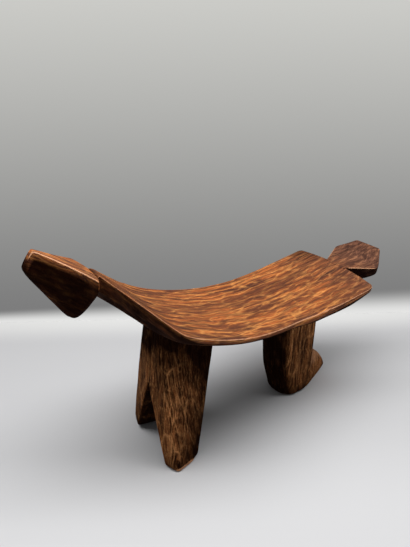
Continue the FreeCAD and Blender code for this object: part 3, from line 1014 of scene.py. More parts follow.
def fork_leg_corners(z, side, fork, seat):
    """Corners of one fork leg at heights z: where the front face leaves the vee, the outer front corner, the
    outer rear corner, and where the vee leaves the rear face. Above the vee the leg ends at the middle."""
    shoulder = shoulder_place(seat)
    full = seat.height + seat.shoulder_rise + seat.thickness
    front_y = side * (fork.spread - LEG_SPLAY * z) + fork.shift * (1.0 - z / full)
    prow = shoulder - fork.prow
    prow_x = prow + PROW_LEAN * z
    front_x = shoulder - FOOT_AHEAD
    rear_x = shoulder + fork.foot_length + LEG_REAR_LEAN * z
    open_share = np.maximum(0.0, 1.0 - z / fork.fork_height)
    narrowing = (fork.gap_front - fork.gap_rear) / (fork.prow + fork.foot_length)
    gap = fork.gap_front - (fork.far_foot_extra if side > 0 else 0.0)
    vee_front, vee_rear = ((fork.shift + side * (gap - narrowing * (x - prow))) * open_share
                           for x in (prow_x, rear_x))
    part = vee_front / (front_y + side * narrowing * open_share * (front_x - prow_x))
    return corner_lines(
        (between(prow_x, front_x, part), part * front_y, z), (front_x, front_y, z),
        (rear_x, front_y - side * fork.foot_inset, z), (rear_x, vee_rear, z))


def fork_leg_grid(side, fork, seat):
    """Rings up one leg of the fork, with corners that soften upwards, the lower edge rounded off and the
    ridge in front eased as a hyperbola above the vee."""
    corners_at = partial(fork_leg_corners, side=side, fork=fork, seat=seat)
    corners = leg_corners(corners_at, leg_shares(FORK_ROWS), seat)
    z = corners[..., 2].mean(axis=1)
    high = ease(z, 0.0, FORK_CORNER_HEIGHT)
    inner = between(*VEE_ROUND, ease(z, VEE_RUN[0] * fork.fork_height, VEE_RUN[1] * fork.fork_height))
    radii = corner_values(inner, between(*FORK_FRONT_ROUND, high), between(*FORK_REAR_ROUND, high), inner)
    fullness = corner_values(0.0, between(*FORK_FRONT_FULLNESS, high), FORK_REAR_FULLNESS, 0.0)
    grid = rounded_rings(fuller(corners, radii, fullness[..., None]), radii, FORK_RING)
    foot_round = fork.near_foot_round if side < 0 else fork.far_foot_round
    grid = inset_level_rings(grid, corner_drop(z, foot_round))
    y = np.abs(grid[..., 1])
    eased = (np.sqrt(y ** 2 + PROW_ROUND ** 2) - y) * fork.prow / fork.spread
    ahead = 1.0 - share(grid[..., 0], corners[:, :1, 0], corners[:, 1:2, 0])
    grid[..., 0] += eased * ahead * ease(z, PROW_START * fork.fork_height, fork.fork_height)[:, None]
    return grid


def foot_ledge(grid, normals, fork, seat):
    """The chipped ledge outside the near foot: 1 on the floor, fading upwards and to the rear."""
    up = np.clip(1.0 - grid[..., 2] / fork.ledge_height, 0.0, 1.0)
    end = shoulder_place(seat) + LEDGE_LENGTH * fork.foot_length
    return ease(-normals[..., 1], *FORK_OUT) * up * (1.0 - ease_from(grid[..., 0], end, LEDGE_FADE))


def fork_leg_surface(side, seed, fork, seat):
    """One front leg with upright flutes and adze hollows, and masks for wear with painted highlights and for
    patina
    with painted shade: painted shadow under the seat, painted shade inside the fork and behind, darker at
    the foot."""
    grid = fork_leg_grid(side, fork, seat)
    normals = ring_normals(grid)
    marks = leg_marks(grid, FORK_FLUTES, FORK_HOLLOWS, seed) * ease(np.abs(grid[..., 1]), *MIDDLE_CALM)
    grid = pushed(grid, normals, fork.flute * marks)
    ledge = foot_ledge(grid, normals, fork, seat) * (side < 0)
    grid[..., 1] += side * fork.ledge_depth * ledge
    x, y, z = (grid[..., axis] for axis in range(3))
    bare = ease(ledge, *LEDGE_EDGE)
    # Worn colour with a painted highlight on the lower ridge and the toe; the chipped ledge is bare wood
    ridge = RIDGE_WEAR_AND_HIGHLIGHT * (1.0 - ease(z, *RIDGE_RUN)) + TOE_WEAR_AND_HIGHLIGHT * np.exp(-z / TOE_REACH)
    wear = np.maximum(arris_mask(FORK_RING, *RIDGE_WORN_LIT_EDGE) * ridge, LEDGE_WEAR * bare)
    # Painted shadow under the seat, painted shade inside the fork and on the rear, darker far leg and foot
    shade = 1.0 - ease(underside_height(x, y, seat) - z, *FORK_SHADE_RUN)
    inside = FORK_IN_TONE * ease(-side * normals[..., 1], *FORK_IN)
    rear = FORK_BACK_TONE * ease(normals[..., 0], *FORK_BACK)
    rear = np.maximum(rear, FORK_CORNER_TONE * arris_mask(FORK_RING, *FORK_REAR_SHADED_EDGE))
    foot = FORK_FOOT_TONE * np.exp(-z / FORK_FOOT_REACH)
    patina = np.clip(shade + FORK_FAR_TONE * (side > 0) + inside + rear + foot, 0.0, 1.0)
    return carved(grid, wear, patina * (1.0 - bare))


# Rear leg, with the same kinds of values
REAR_RING = (14, (20, 30, 26, 30))
REAR_ROWS = 150
REAR_LEG_LEAN = 0.10  # how far its front leans forward as it rises, in heights
REAR_BACK_ROUND = (0.011, 0.0025)
REAR_BACK_HEIGHT = 0.03
REAR_FULLNESS = (0.2275, 0.65)
REAR_FLUTES = (0.8, (0.006, 0.006, 0.080))
REAR_HOLLOWS = (0.8, (0.016, 0.016, 0.030))
REAR_SEED = 51
REAR_WORN = ((2, 3), 4.0, 0.3)
REAR_WEAR = 0.4
REAR_TONE = 0.1  # all over
# Painted shadow under the seat and painted shade on the faces turned forward; darker towards the floor
REAR_SHADE = 0.7
REAR_SHADE_RUN = (0.0, 0.030)
REAR_AHEAD = (0.25, 0.8)
REAR_AHEAD_TONE = 0.9
REAR_FOOT_TONE = 0.7
REAR_FOOT_REACH = 0.014


def rear_leg_corners(z, rear):
    """Corners of the rear leg at heights z: an upright back and a front that leans forward as it rises."""
    front_x = HEEL_FRONT - rear.length - REAR_LEG_LEAN * z
    half = rear.width / 2
    return corner_lines(
        (front_x, half, z), (front_x, -half, z), (HEEL_FRONT, -half, z), (HEEL_FRONT, half, z))


def rear_leg_grid(rear, seat):
    """Rings up the rear leg: a four-sided section with broad front arcs that grow to the toe."""
    corners = leg_corners(partial(rear_leg_corners, rear=rear), leg_shares(REAR_ROWS), seat)
    z = corners[..., 2].mean(axis=1)
    high = ease(z, 0.0, rear.ankle)
    front_round = between(rear.toe_round, rear.shin_round, high)
    back_round = between(*REAR_BACK_ROUND, ease(z, 0.0, REAR_BACK_HEIGHT))
    radii = corner_values(front_round, front_round, back_round, back_round)
    fullness = between(*REAR_FULLNESS, high)[:, None, None]
    grid = rounded_rings(fuller(corners, radii, fullness), radii, REAR_RING)
    return inset_level_rings(grid, corner_drop(z, rear.foot_round))


def rear_leg_surface(rear, seat):
    """The rear leg with upright flutes and adze hollows, and masks for wear, and for patina with painted
    shade.
    """
    grid = rear_leg_grid(rear, seat)
    normals = ring_normals(grid)
    grid = pushed(grid, normals, rear.flute * leg_marks(grid, REAR_FLUTES, REAR_HOLLOWS, REAR_SEED))
    x, y, z = (grid[..., axis] for axis in range(3))
    # Painted shadow under the seat, painted shade on the faces turned forward, darker towards the floor
    shade = 1.0 - ease(underside_height(x, y, seat) - z, *REAR_SHADE_RUN)
    front = ease(-normals[..., 0], *REAR_AHEAD)
    foot = np.exp(-z / REAR_FOOT_REACH)
    patina = REAR_TONE + REAR_SHADE * shade + REAR_AHEAD_TONE * front + REAR_FOOT_TONE * foot
    return carved(grid, REAR_WEAR * arris_mask(REAR_RING, *REAR_WORN), np.clip(patina, 0.0, 1.0))


# Heel
HEEL_RING = (8, (24, 14, 24, 30))
HEEL_ROWS = (90, 0.4)
HEEL_SUNK = 0.006  # how far it reaches into the leg
HEEL_INSET = 0.0002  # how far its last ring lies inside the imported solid
HEEL_BEND_BACK = 0.032  # a place on the top line, behind the leg
HEEL_BEND_HEIGHT = 0.038
HEEL_LEAST = 0.0006  # least height of a ring
HEEL_DRAW = 0.005  # how far the tip draws in at the floor
HEEL_ROUNDS = np.array([0.002, 0.006, 0.006, 0.002])
HEEL_HOLLOWS = (1.0, (0.016, 0.012, 0.014), 61)
# The upward faces take the worn colour as wear and painted light
HEEL_UP = (-0.3, 0.2)
HEEL_WEAR_AND_LIGHT = 0.85
HEEL_WEAR_AND_LIGHT_RUN = (0.006, 0.034)  # heights over which the wear and painted light begin
HEEL_FOOT_TONE = 0.4
HEEL_FOOT_REACH = 0.01


def heel_crest(back, length, rear):
    """Height of the heel's top line: the circle through its start, its bend and its tip."""
    points = np.array([
        [0.0, rear.heel_height], [HEEL_BEND_BACK, HEEL_BEND_HEIGHT], [length, rear.tip_height]])
    system = np.column_stack([2 * points, np.ones(len(points))])
    centre_x, centre_z, rest = np.linalg.solve(system, (points ** 2).sum(axis=1))
    square = rest + centre_x ** 2 + centre_z ** 2
    return np.maximum(centre_z + np.sqrt(np.maximum(square - (back - centre_x) ** 2, 0.0)), HEEL_LEAST)


def heel_grid(rear):
    """Rings along the heel: a four-sided section that narrows to the tip, which is drawn in at the floor."""
    length = HEEL_TIP - HEEL_FRONT
    x = stations(HEEL_FRONT - HEEL_SUNK, HEEL_TIP - HEEL_INSET, *HEEL_ROWS)
    back = np.maximum(x - HEEL_FRONT, 0.0)
    top = heel_crest(back, length, rear)
    floor_half = between(rear.heel_half, rear.heel_tip_half, back / length)
    crest_half = between(rear.heel_top_half, rear.heel_tip_half, back / length)
    top_half = between(floor_half, crest_half, top / rear.heel_height)
    corners = corner_lines(
        (x, -floor_half, 0.0), (x, -top_half, top), (x, top_half, top), (x, floor_half, 0.0))
    grid = rounded_rings(corners, HEEL_ROUNDS, HEEL_RING)
    lower = np.clip(1.0 - grid[..., 2] / rear.tip_height, 0.0, 1.0)
    grid[..., 0] -= HEEL_DRAW * lower * share(back, 0.0, length)[:, None] ** 2
    return grid


def heel_surface(rear):
    """The heel with adze hollows, and masks for its worn top with painted light on the upward faces, and its
    dark foot.
    """
    grid = heel_grid(rear)
    normals = ring_normals(grid)
    grid = pushed(grid, normals, rear.flute * tool_marks(grid, *HEEL_HOLLOWS) * off_the_floor(grid))
    z = grid[..., 2]
    # Worn colour as wear and painted light on the upward faces
    wear = HEEL_WEAR_AND_LIGHT * ease(z, *HEEL_WEAR_AND_LIGHT_RUN) * ease(normals[..., 2], *HEEL_UP)
    return carved(grid, wear, HEEL_FOOT_TONE * np.exp(-z / HEEL_FOOT_REACH))


# Wood finishes: capital names belong to the shared effects, offset and relief are metres, others shares
SEAT_FIGURE = {
    "Fine Scale": 170.0, "Coarse Scale": 75.0, "Stretch": 6.0, "Ring Scale": 60.0, "Ring Waver": 4.0,
    "Wander": 0.012, "Softness": 0.13,
}
LEG_FIGURE = {
    "Fine Scale": 300.0, "Coarse Scale": 110.0, "Stretch": 7.0, "Ring Scale": 130.0, "Ring Waver": 2.5,
    "Wander": 0.004, "Softness": 0.11,
}
# The worn colour's strength in each finish also sets its painted edge highlights
SEAT_WOOD = {
    "kinds": ("seat", "tail"), "offset": (0.31, 0.12, 0.22), "figure": SEAT_FIGURE,
    "fibre": {"Scale": 420.0, "Length": 6.0}, "fibre_floor": 0.4, "depth": 0.8,
    "Patch": 0.85, "Net": 0.75, "Rings": 0.5, "Cloud": 0.45, "unevenness": 0.8, "rub_and_highlight": 0.75,
    "roughness": 0.45, "relief": 0.0008, "specular": 0.03, "polish": 0.08,
}
HEAD_WOOD = dict(SEAT_WOOD, offset=(0.51, 0.02, 0.3), unevenness=0.35, rub_and_highlight=1.0, specular=0.02)
LEG_WOOD = {
    "kinds": ("leg", "leg"), "offset": (0.2, 0.6, 0.1), "figure": LEG_FIGURE,
    "fibre": {"Scale": 560.0, "Length": 1.3}, "fibre_floor": 0.12, "depth": 0.85,
    "Patch": 0.6, "Net": 1.0, "Rings": 0.35, "Cloud": 0.5, "unevenness": 0.9, "rub_and_highlight": 0.42,
    "roughness": 0.55, "relief": 0.0010, "specular": 0.01, "polish": 0.0,
}
FINISHES = {"seat_wood": SEAT_WOOD, "head_wood": HEAD_WOOD, "tail_wood": SEAT_WOOD, "leg_wood": LEG_WOOD}

# Where along the chair the first kind of wood passes into the second
KIND_CHANGE = (0.09, 0.21)

# Figure: a range says where a noise begins to show in its mask and where it fills it
BROAD_SCALE = 0.35  # scale of the broad noise, as a share of the coarse scale
LONGER = 2.0  # how much further streaks and growth lines are drawn out than flames
NOISE_MIDDLE = 0.5  # middle value of a noise
FLAME_AWAY = (0.37, 0.11, 0.23)  # offset that keeps the flames from following the coarse ridges
RING_RANGE = (0.35, 1.0)
CLOUD_RANGE = (0.48, 0.66)
PATCH_RANGE = (0.55, 0.63)
LIT_RANGE = (0.34, 0.52)  # streaks on which the ridges show
COARSE_LINE = 0.07  # width of the ridges between coarse cells, in cells
FINE_LINE = 0.12  # width of the ridges between fine cells
FINE_LINE_SHARE = 0.6  # strength of these, as a share of the coarse ones
FIBRE_RANGE = (0.25, 0.75)
PORE_DENSITY = 1.7  # scale of the pores, in scales of the fibres
PORE_RANGE = (0.62, 0.72)
# Worn edges with painted highlights
WEAR_AND_HIGHLIGHT_RANGE = (0.45, 0.95)
PATINA_AND_SHADE_GATE = (0.0, 0.3)  # patina and painted shade over which their unevenness sets in

# Where a Mix node keeps its colour sockets
MIX_FIRST = 6
MIX_SECOND = 7
MIX_RESULT = 2

# Layers of the finish
FIBRE_SHADE = 0.75  # how strongly the fibres shade the wood
PORE_SHADE = 0.45  # how dark the pores are
PATINA_AND_SHADE_COVER = 0.97  # most of the wood that patina and painted shade hide
FIBRE_ROUGHNESS = 0.12  # how much rougher the fibres are
PATINA_AND_SHADE_ROUGHNESS = 0.4  # how much rougher patina and painted shade are
COAT_ROUGHNESS = 0.32  # roughness of the polish
BUMP_STRENGTH = 0.6
BUMP_SHARE = 0.5  # height of each layer of the relief, as a share of its depth


def put(tree, kind, settings=None, inputs=None):
    """A new node with its settings, and each input either linked from a socket or set to a value."""
    node = tree.nodes.new(kind)
    for key, value in (settings or {}).items():
        setattr(node, key, value)
    for key, value in (inputs or {}).items():
        if isinstance(value, bpy.types.NodeSocket):
            tree.links.new(value, node.inputs[key])
        else:
            node.inputs[key].default_value = value
    return node


def maths(tree, operation, first, second=0.0, third=0.0):
    """The output of one Math node."""
    return put(tree, "ShaderNodeMath", {"operation": operation}, {0: first, 1: second, 2: third}).outputs[0]


def vector_maths(tree, operation, first, second, output="Vector"):
    """One output of a Vector Math node, where SCALE takes a number for its second input."""
    place = "Scale" if operation == "SCALE" else 1
    node = put(tree, "ShaderNodeVectorMath", {"operation": operation}, {0: first, place: second})
    return node.outputs[output]


def ramp(tree, value, low, high, soft=True):
    """A value carried from low..high to 0..1, eased at both ends if soft."""
    kind = "SMOOTHSTEP" if soft else "LINEAR"
    return put(tree, "ShaderNodeMapRange", {"interpolation_type": kind, "clamp": True},
               {"Value": value, "From Min": low, "From Max": high}).outputs["Result"]


def blend(tree, mask, first, second, mode="MIX"):
    """One colour laid over another by a mask."""
    node = put(tree, "ShaderNodeMix", {"data_type": "RGBA", "blend_type": mode},
               {0: mask, MIX_FIRST: first, MIX_SECOND: second})
    return node.outputs[MIX_RESULT]


def noise(tree, vector, scale, detail, roughness=0.5, output="Fac"):
    """One output of a Noise Texture node."""
    return put(tree, "ShaderNodeTexNoise", inputs={
        "Vector": vector, "Scale": scale, "Detail": detail, "Roughness": roughness}).outputs[output]


def new_group(name, values, masks):
    """An empty shader node group that takes a vector and named values and gives named masks."""
    tree = bpy.data.node_groups.new(name, "ShaderNodeTree")
    tree.interface.new_socket("Vector", in_out="INPUT", socket_type="NodeSocketVector")
    for label, default in values.items():
        socket = tree.interface.new_socket(label, in_out="INPUT", socket_type="NodeSocketFloat")
        socket.default_value = default
    for label in masks:
        tree.interface.new_socket(label, in_out="OUTPUT", socket_type="NodeSocketFloat")
    return tree, tree.nodes.new("NodeGroupInput").outputs, tree.nodes.new("NodeGroupOutput").inputs


def drawn_out(tree, vector, length):
    """A vector shortened along X, so that a texture is drawn out along the grain."""
    shorter = maths(tree, "DIVIDE", 1.0, length)
    factor = put(tree, "ShaderNodeCombineXYZ", inputs={"X": shorter, "Y": 1.0, "Z": 1.0}).outputs[0]
    return vector_maths(tree, "MULTIPLY", vector, factor)


def cell_edges(tree, vector, scale, width):
    """Lines along the borders of random cells, 1 on the border."""
    ridge = put(tree, "ShaderNodeTexVoronoi", {"feature": "DISTANCE_TO_EDGE"}, {
        "Vector": vector, "Scale": scale}).outputs["Distance"]
    return maths(tree, "SUBTRACT", 1.0, ramp(tree, ridge, 0.0, width))


def bent_grain(tree, given, scale):
    """The vector along the grain, bent by broad noise."""
    bend = noise(tree, given["Vector"], scale, detail=2.0, output="Color")
    bend = vector_maths(tree, "SUBTRACT", bend, (NOISE_MIDDLE,) * 3)
    return vector_maths(tree, "ADD", given["Vector"], vector_maths(tree, "SCALE", bend, given["Wander"]))


def growth_rings(tree, given, vector):
    """Wavering rings about the grain."""
    return put(tree, "ShaderNodeTexWave", {"wave_type": "RINGS", "rings_direction": "X"}, {
        "Vector": vector, "Scale": given["Ring Scale"], "Distortion": given["Ring Waver"], "Detail": 2.0,
        "Detail Scale": 0.5, "Detail Roughness": 0.6}).outputs["Fac"]


def cell_ridges(tree, given, place, away):
    """Ridges between coarse cells, and weaker ones between fine cells away from them."""
    finer = maths(tree, "MULTIPLY", cell_edges(tree, away, given["Fine Scale"], FINE_LINE), FINE_LINE_SHARE)
    return maths(tree, "MAXIMUM", cell_edges(tree, place, given["Coarse Scale"], COARSE_LINE), finer)


def flame_group(name):
    """Carver's figure with the grain along X, all of it bent by broad noise. Tone is its streaks, Cloud its
    broad shade, Rings its growth lines, Patch its dark flames, and Net the light ridges between cells."""
    tree, given, out = new_group(name, SEAT_FIGURE, ("Tone", "Cloud", "Rings", "Patch", "Net"))
    broad = maths(tree, "MULTIPLY", given["Coarse Scale"], BROAD_SCALE)
    bent = bent_grain(tree, given, broad)
    place = drawn_out(tree, bent, given["Stretch"])
    longer = drawn_out(tree, bent, maths(tree, "MULTIPLY", given["Stretch"], LONGER))
    away = vector_maths(tree, "ADD", place, FLAME_AWAY)
    streaks = noise(tree, longer, given["Fine Scale"], detail=6.0, roughness=0.65)
    low = maths(tree, "SUBTRACT", NOISE_MIDDLE, given["Softness"])
    high = maths(tree, "ADD", NOISE_MIDDLE, given["Softness"])
    cloud = noise(tree, away, broad, detail=3.0)
    flames = noise(tree, away, given["Coarse Scale"], detail=5.0, roughness=0.6)
    ridges = cell_ridges(tree, given, place, away)
    masks = {
        "Tone": ramp(tree, streaks, low, high),
        "Cloud": ramp(tree, cloud, *CLOUD_RANGE),
        "Rings": ramp(tree, growth_rings(tree, given, longer), *RING_RANGE),
        "Patch": ramp(tree, flames, *PATCH_RANGE),
        "Net": maths(tree, "MULTIPLY", ridges, ramp(tree, streaks, *LIT_RANGE)),
    }
    for label, mask in masks.items():
        tree.links.new(mask, out[label])
    return tree


def fibre_group(name):
    """Fine fibres and open pores along X: noise drawn out along the grain."""
    tree, given, out = new_group(name, SEAT_WOOD["fibre"], ("Fibre", "Pores"))
    drawn = drawn_out(tree, given["Vector"], given["Length"])
    fibre = noise(tree, drawn, given["Scale"], detail=3.0, roughness=0.6)
    tree.links.new(ramp(tree, fibre, *FIBRE_RANGE, soft=False), out["Fibre"])
    dots = noise(tree, drawn, maths(tree, "MULTIPLY", given["Scale"], PORE_DENSITY), detail=1.0)
    tree.links.new(ramp(tree, dots, *PORE_RANGE), out["Pores"])
    return tree


def uneven(tree, given, amount, detail):
    """Noise about zero, times an amount, that breaks up a mask."""
    speckle = noise(tree, given["Vector"], given["Scale"], detail)
    return maths(tree, "MULTIPLY", maths(tree, "SUBTRACT", speckle, NOISE_MIDDLE), amount)


def wear_and_highlight_group(name):
    """Rubbed edges with painted highlights: the piece's own mask for both, broken up by noise."""
    tree, given, out = new_group(name, {"Wear": 0.0, "Scale": 180.0, "Breakup": 0.6}, ("Mask",))
    broken = maths(tree, "ADD", given["Wear"], uneven(tree, given, given["Breakup"], detail=3.0))
    tree.links.new(ramp(tree, broken, *WEAR_AND_HIGHLIGHT_RANGE), out["Mask"])
    return tree


def patina_and_shade_group(name):
    """Handling patina and painted shade: the piece's own mask for both, made uneven by noise wherever it is
    not bare.
    """
    tree, given, out = new_group(name, {"Patina": 0.0, "Scale": 60.0, "Unevenness": 0.5}, ("Mask",))
    gate = ramp(tree, given["Patina"], *PATINA_AND_SHADE_GATE)
    gated = maths(tree, "MULTIPLY", uneven(tree, given, given["Unevenness"], detail=4.0), gate)
    mask = put(tree, "ShaderNodeClamp", inputs={"Value": maths(tree, "ADD", given["Patina"], gated)})
    tree.links.new(mask.outputs[0], out["Mask"])
    return tree


EFFECTS = {
    "Flame figure": flame_group,
    "Fibre and pores": fibre_group,
    "Edge wear": wear_and_highlight_group,
    "Patina": patina_and_shade_group,
}


def effect(tree, name, vector, values):
    """The outputs of one effect that the wood finishes share. Its group is built on first use."""
    group = bpy.data.node_groups.get(name) or EFFECTS[name](name)
    return put(tree, "ShaderNodeGroup", {"node_tree": group}, dict(values, Vector=vector)).outputs


def own_attribute(tree, name, output):
    """An attribute that the piece carries."""
    return put(tree, "ShaderNodeAttribute", {"attribute_name": name}).outputs[output]


def opaque(value):
    """A colour property as red, green, blue and alpha."""
    return (value[0], value[1], value[2], 1.0)


def wood_tones(tree, place, wood, kinds):
    """Dark, ground and light colour of a wood, passing along the chair from one kind to another."""
    names = ("dark", "mid", "light")
    first, last = ([opaque(getattr(wood, kind + "_" + name)) for name in names] for kind in kinds)
    if first == last:
        return first
    length = put(tree, "ShaderNodeSeparateXYZ", inputs={0: place}).outputs["X"]
    rearward = ramp(tree, length, *KIND_CHANGE)
    return [blend(tree, rearward, *pair) for pair in zip(first, last)]


def wood_colour(tree, tones, flame, fibre, finish):
    """Bare wood: streaks, dark flames, light ridges, growth lines and broad shade over the ground colour,
    then fibres and pores."""
    dark, mid, light = tones
    tint = blend(tree, flame["Tone"], blend(tree, finish["depth"], mid, dark), mid)
    for layer, tone in (("Patch", dark), ("Net", light), ("Rings", dark), ("Cloud", dark)):
        tint = blend(tree, maths(tree, "MULTIPLY", flame[layer], finish[layer]), tint, tone)
    fine = ramp(tree, fibre["Fibre"], -finish["fibre_floor"], 1.0, soft=False)
    shade = put(tree, "ShaderNodeCombineColor", inputs={"Red": fine, "Green": fine, "Blue": fine}).outputs[0]
    tint = blend(tree, FIBRE_SHADE, tint, shade, "MULTIPLY")
    return blend(tree, maths(tree, "MULTIPLY", fibre["Pores"], PORE_SHADE), tint, dark)


def wood_relief(tree, flame, fibre, finish):
    """Normals of the grain: streaks, fibres and ridges stand up and pores lie open."""
    height = maths(tree, "MULTIPLY", fibre["Fibre"], BUMP_SHARE)
    for layer, sign in ((flame["Tone"], 1), (flame["Net"], 1), (fibre["Pores"], -1)):
        height = maths(tree, "MULTIPLY_ADD", layer, sign * BUMP_SHARE, height)
    return put(tree, "ShaderNodeBump", inputs={
        "Strength": BUMP_STRENGTH, "Distance": finish["relief"], "Height": height}).outputs[0]


def wood_material(name, wood, finish):
    """Oiled carved wood with its patina and painted shade, its rubbed edges with painted highlights, and a
    thin polish where no patina or painted shade covers it.
    """
    material = bpy.data.materials.new(name)
    material.use_nodes = True
    tree = material.node_tree
    shader = tree.nodes["Principled BSDF"].inputs
    place = put(tree, "ShaderNodeTexCoord").outputs["Object"]
    along = vector_maths(tree, "ADD", own_attribute(tree, "grain", "Vector"), finish["offset"])
    flame = effect(tree, "Flame figure", along, finish["figure"])
    fibre = effect(tree, "Fibre and pores", along, finish["fibre"])
    wear_and_highlight_mask = effect(tree, "Edge wear", place, {"Wear": own_attribute(tree, "wear", "Fac")})["Mask"]
    patina_and_shade_mask = effect(tree, "Patina", along, {
        "Patina": own_attribute(tree, "patina", "Fac"), "Unevenness": finish["unevenness"]})["Mask"]
    tint = wood_colour(tree, wood_tones(tree, place, wood, finish["kinds"]), flame, fibre, finish)
    # Near-black over the patina and the painted shade
    tint = blend(tree, maths(tree, "MULTIPLY", patina_and_shade_mask, PATINA_AND_SHADE_COVER), tint, opaque(wood.patina))
    # Worn colour over the rubbed edges and the painted highlights
    tint = blend(tree, maths(tree, "MULTIPLY", wear_and_highlight_mask, finish["rub_and_highlight"]), tint, opaque(wood.worn))
    tree.links.new(tint, shader["Base Color"])
    rough = maths(tree, "MULTIPLY_ADD", fibre["Fibre"], FIBRE_ROUGHNESS, finish["roughness"])
    tree.links.new(maths(tree, "MULTIPLY_ADD", patina_and_shade_mask, PATINA_AND_SHADE_ROUGHNESS, rough), shader["Roughness"])
    tree.links.new(wood_relief(tree, flame, fibre, finish), shader["Normal"])
    shader["Specular IOR Level"].default_value = finish["specular"]
    if finish["polish"]:
        bare = maths(tree, "SUBTRACT", 1.0, patina_and_shade_mask)
        tree.links.new(maths(tree, "MULTIPLY", bare, finish["polish"]), shader["Coat Weight"])
        shader["Coat Roughness"].default_value = COAT_ROUGHNESS
    return material


def finish_material(slot):
    """The finish of one material slot of the record, built on first use."""
    name = "chair_" + slot
    wood = bpy.context.scene.chair_wood
    return bpy.data.materials.get(name) or wood_material(name, wood, FINISHES[slot])


class CHAIR_OT_seat(Operator):
    """Build the sagging seat and the neck it rises into"""
    bl_idname = "chair.seat"
    bl_label = "Seat and neck"

    def execute(self, context):
        seat = context.scene.chair_seat
        surface = seat_surface(seat, context.scene.chair_tail)
        add_piece("carved_seat", ("seat", "neck"), "seat_wood", surface, sweep_grain(surface[0], seat))
        return {"FINISHED"}


class CHAIR_OT_head(Operator):
    """Build the wedge-shaped head"""
    bl_idname = "chair.head"
    bl_label = "Head"

    def execute(self, context):
        head = context.scene.chair_head
        seat = context.scene.chair_seat
        surface = head_surface(head, seat)
        add_piece("carved_head", ("head",), "head_wood", surface, head_grain(surface[0], head, seat))
        return {"FINISHED"}


class CHAIR_OT_tail(Operator):
    """Build the flared tail plate"""
    bl_idname = "chair.tail"
    bl_label = "Tail"

    def execute(self, context):
        seat = context.scene.chair_seat
        surface = tail_surface(context.scene.chair_tail, seat)
        add_piece("carved_tail", ("tail",), "tail_wood", surface, sweep_grain(surface[0], seat))
        return {"FINISHED"}


class CHAIR_OT_front_legs(Operator):
    """Build the two legs of the front fork"""
    bl_idname = "chair.front_legs"
    bl_label = "Front legs"

    def execute(self, context):
        fork = context.scene.chair_fork
        for leg, side, seed in FORK_LEGS:
            surface = fork_leg_surface(side, seed, fork, context.scene.chair_seat)
            add_piece("carved_" + leg, (leg,), "leg_wood", surface, upright_grain(surface[0]))
        return {"FINISHED"}


class CHAIR_OT_rear_leg(Operator):
    """Build the rear leg and the heel behind it"""
    bl_idname = "chair.rear_leg"
    bl_label = "Rear leg and heel"

    def execute(self, context):
        rear = context.scene.chair_rear
        surface = rear_leg_surface(rear, context.scene.chair_seat)
        grain = REAR_GRAIN * upright_grain(surface[0])
        add_piece("carved_rear_leg", ("rear_leg",), "leg_wood", surface, grain)
        surface = heel_surface(rear)
        add_piece("carved_heel", ("heel",), "leg_wood", surface, upright_grain(surface[0]))
        return {"FINISHED"}


# Stage: floor, backdrop, light and camera, in metres
WALL_NORMAL = (0.516, 0.856, 0.0)  # direction from the chair to the backdrop
WALL_ALONG = (WALL_NORMAL[1], -WALL_NORMAL[0], 0.0)  # direction along the backdrop, to the right
WALL_DISTANCE = 0.237
WALL_HALF = 1.2  # half its width
WALL_HEIGHT = 1.2
# Painted light on the glowing backdrop: paler towards its top and in a band along its foot
WALL_TOP = 0.49  # height at which it is palest
WALL_POWER = 1.35  # how late it grows paler
WALL_FOOT_LEFT = 0.024  # height of the pale band along its foot, on the left
WALL_FOOT_RIGHT = 0.056  # and on the right
WALL_FOOT_REACH = 0.45  # how far from the middle these heights are reached
FLOOR_HALF = 3.0  # half the side of the floor
# Painted light on the floor: paler in the foreground and at the foot of the backdrop
FLOOR_NEAR = (-0.16, -0.02)  # where the paler foreground ends, towards the backdrop
FLOOR_FAR = (0.16, WALL_DISTANCE)  # where the floor grows paler again
FLOOR_ROUGHNESS = 0.7
FLOOR_SPECULAR = 0.1
CAMERA_PLACE = (-0.2725, -0.3252, 0.3805)
CAMERA_TURN = (66.0, 0.0, -34.05)  # in degrees
CAMERA_LENS = 27.05  # in millimetres
CAMERA_SENSOR = 36.0  # in millimetres
LAMP_PLACE = (-0.046, -0.077, 1.10)
LAMP_LENGTH = 1.7
LAMP_DEPTH = 0.40
LAMP_POWER = 16.6  # in watts
WORLD_LIGHT = 0.13
WHITE = (1.0, 1.0, 1.0, 1.0)


def stage_sheet(name, corners, material):
    """A stage sheet with one face through its corners."""
    mesh = bpy.data.meshes.new(name)
    mesh.from_pydata(corners, [], [tuple(range(len(corners)))])
    mesh.materials.append(material)
    sheet = bpy.data.objects.new(name, mesh)
    bpy.context.scene.collection.objects.link(sheet)
    return sheet


def stage_distance(tree, direction):
    """How far a point of the stage lies in a direction."""
    place = put(tree, "ShaderNodeTexCoord").outputs["Object"]
    return vector_maths(tree, "DOT_PRODUCT", place, direction, "Value")


def floor_material(stage):
    """Pale matt floor with painted light: a little paler in the foreground and at the foot of the backdrop.
    """
    material = bpy.data.materials.new("stage_floor")
    material.use_nodes = True
    tree = material.node_tree
    towards = stage_distance(tree, WALL_NORMAL)
    shader = tree.nodes["Principled BSDF"].inputs
    grey = blend(tree, ramp(tree, towards, *FLOOR_NEAR), opaque(stage.floor_near), opaque(stage.floor))
    grey = blend(tree, ramp(tree, towards, *FLOOR_FAR), grey, opaque(stage.floor_far))
    tree.links.new(grey, shader["Base Color"])
    shader["Roughness"].default_value = FLOOR_ROUGHNESS
    shader["Specular IOR Level"].default_value = FLOOR_SPECULAR
    return material


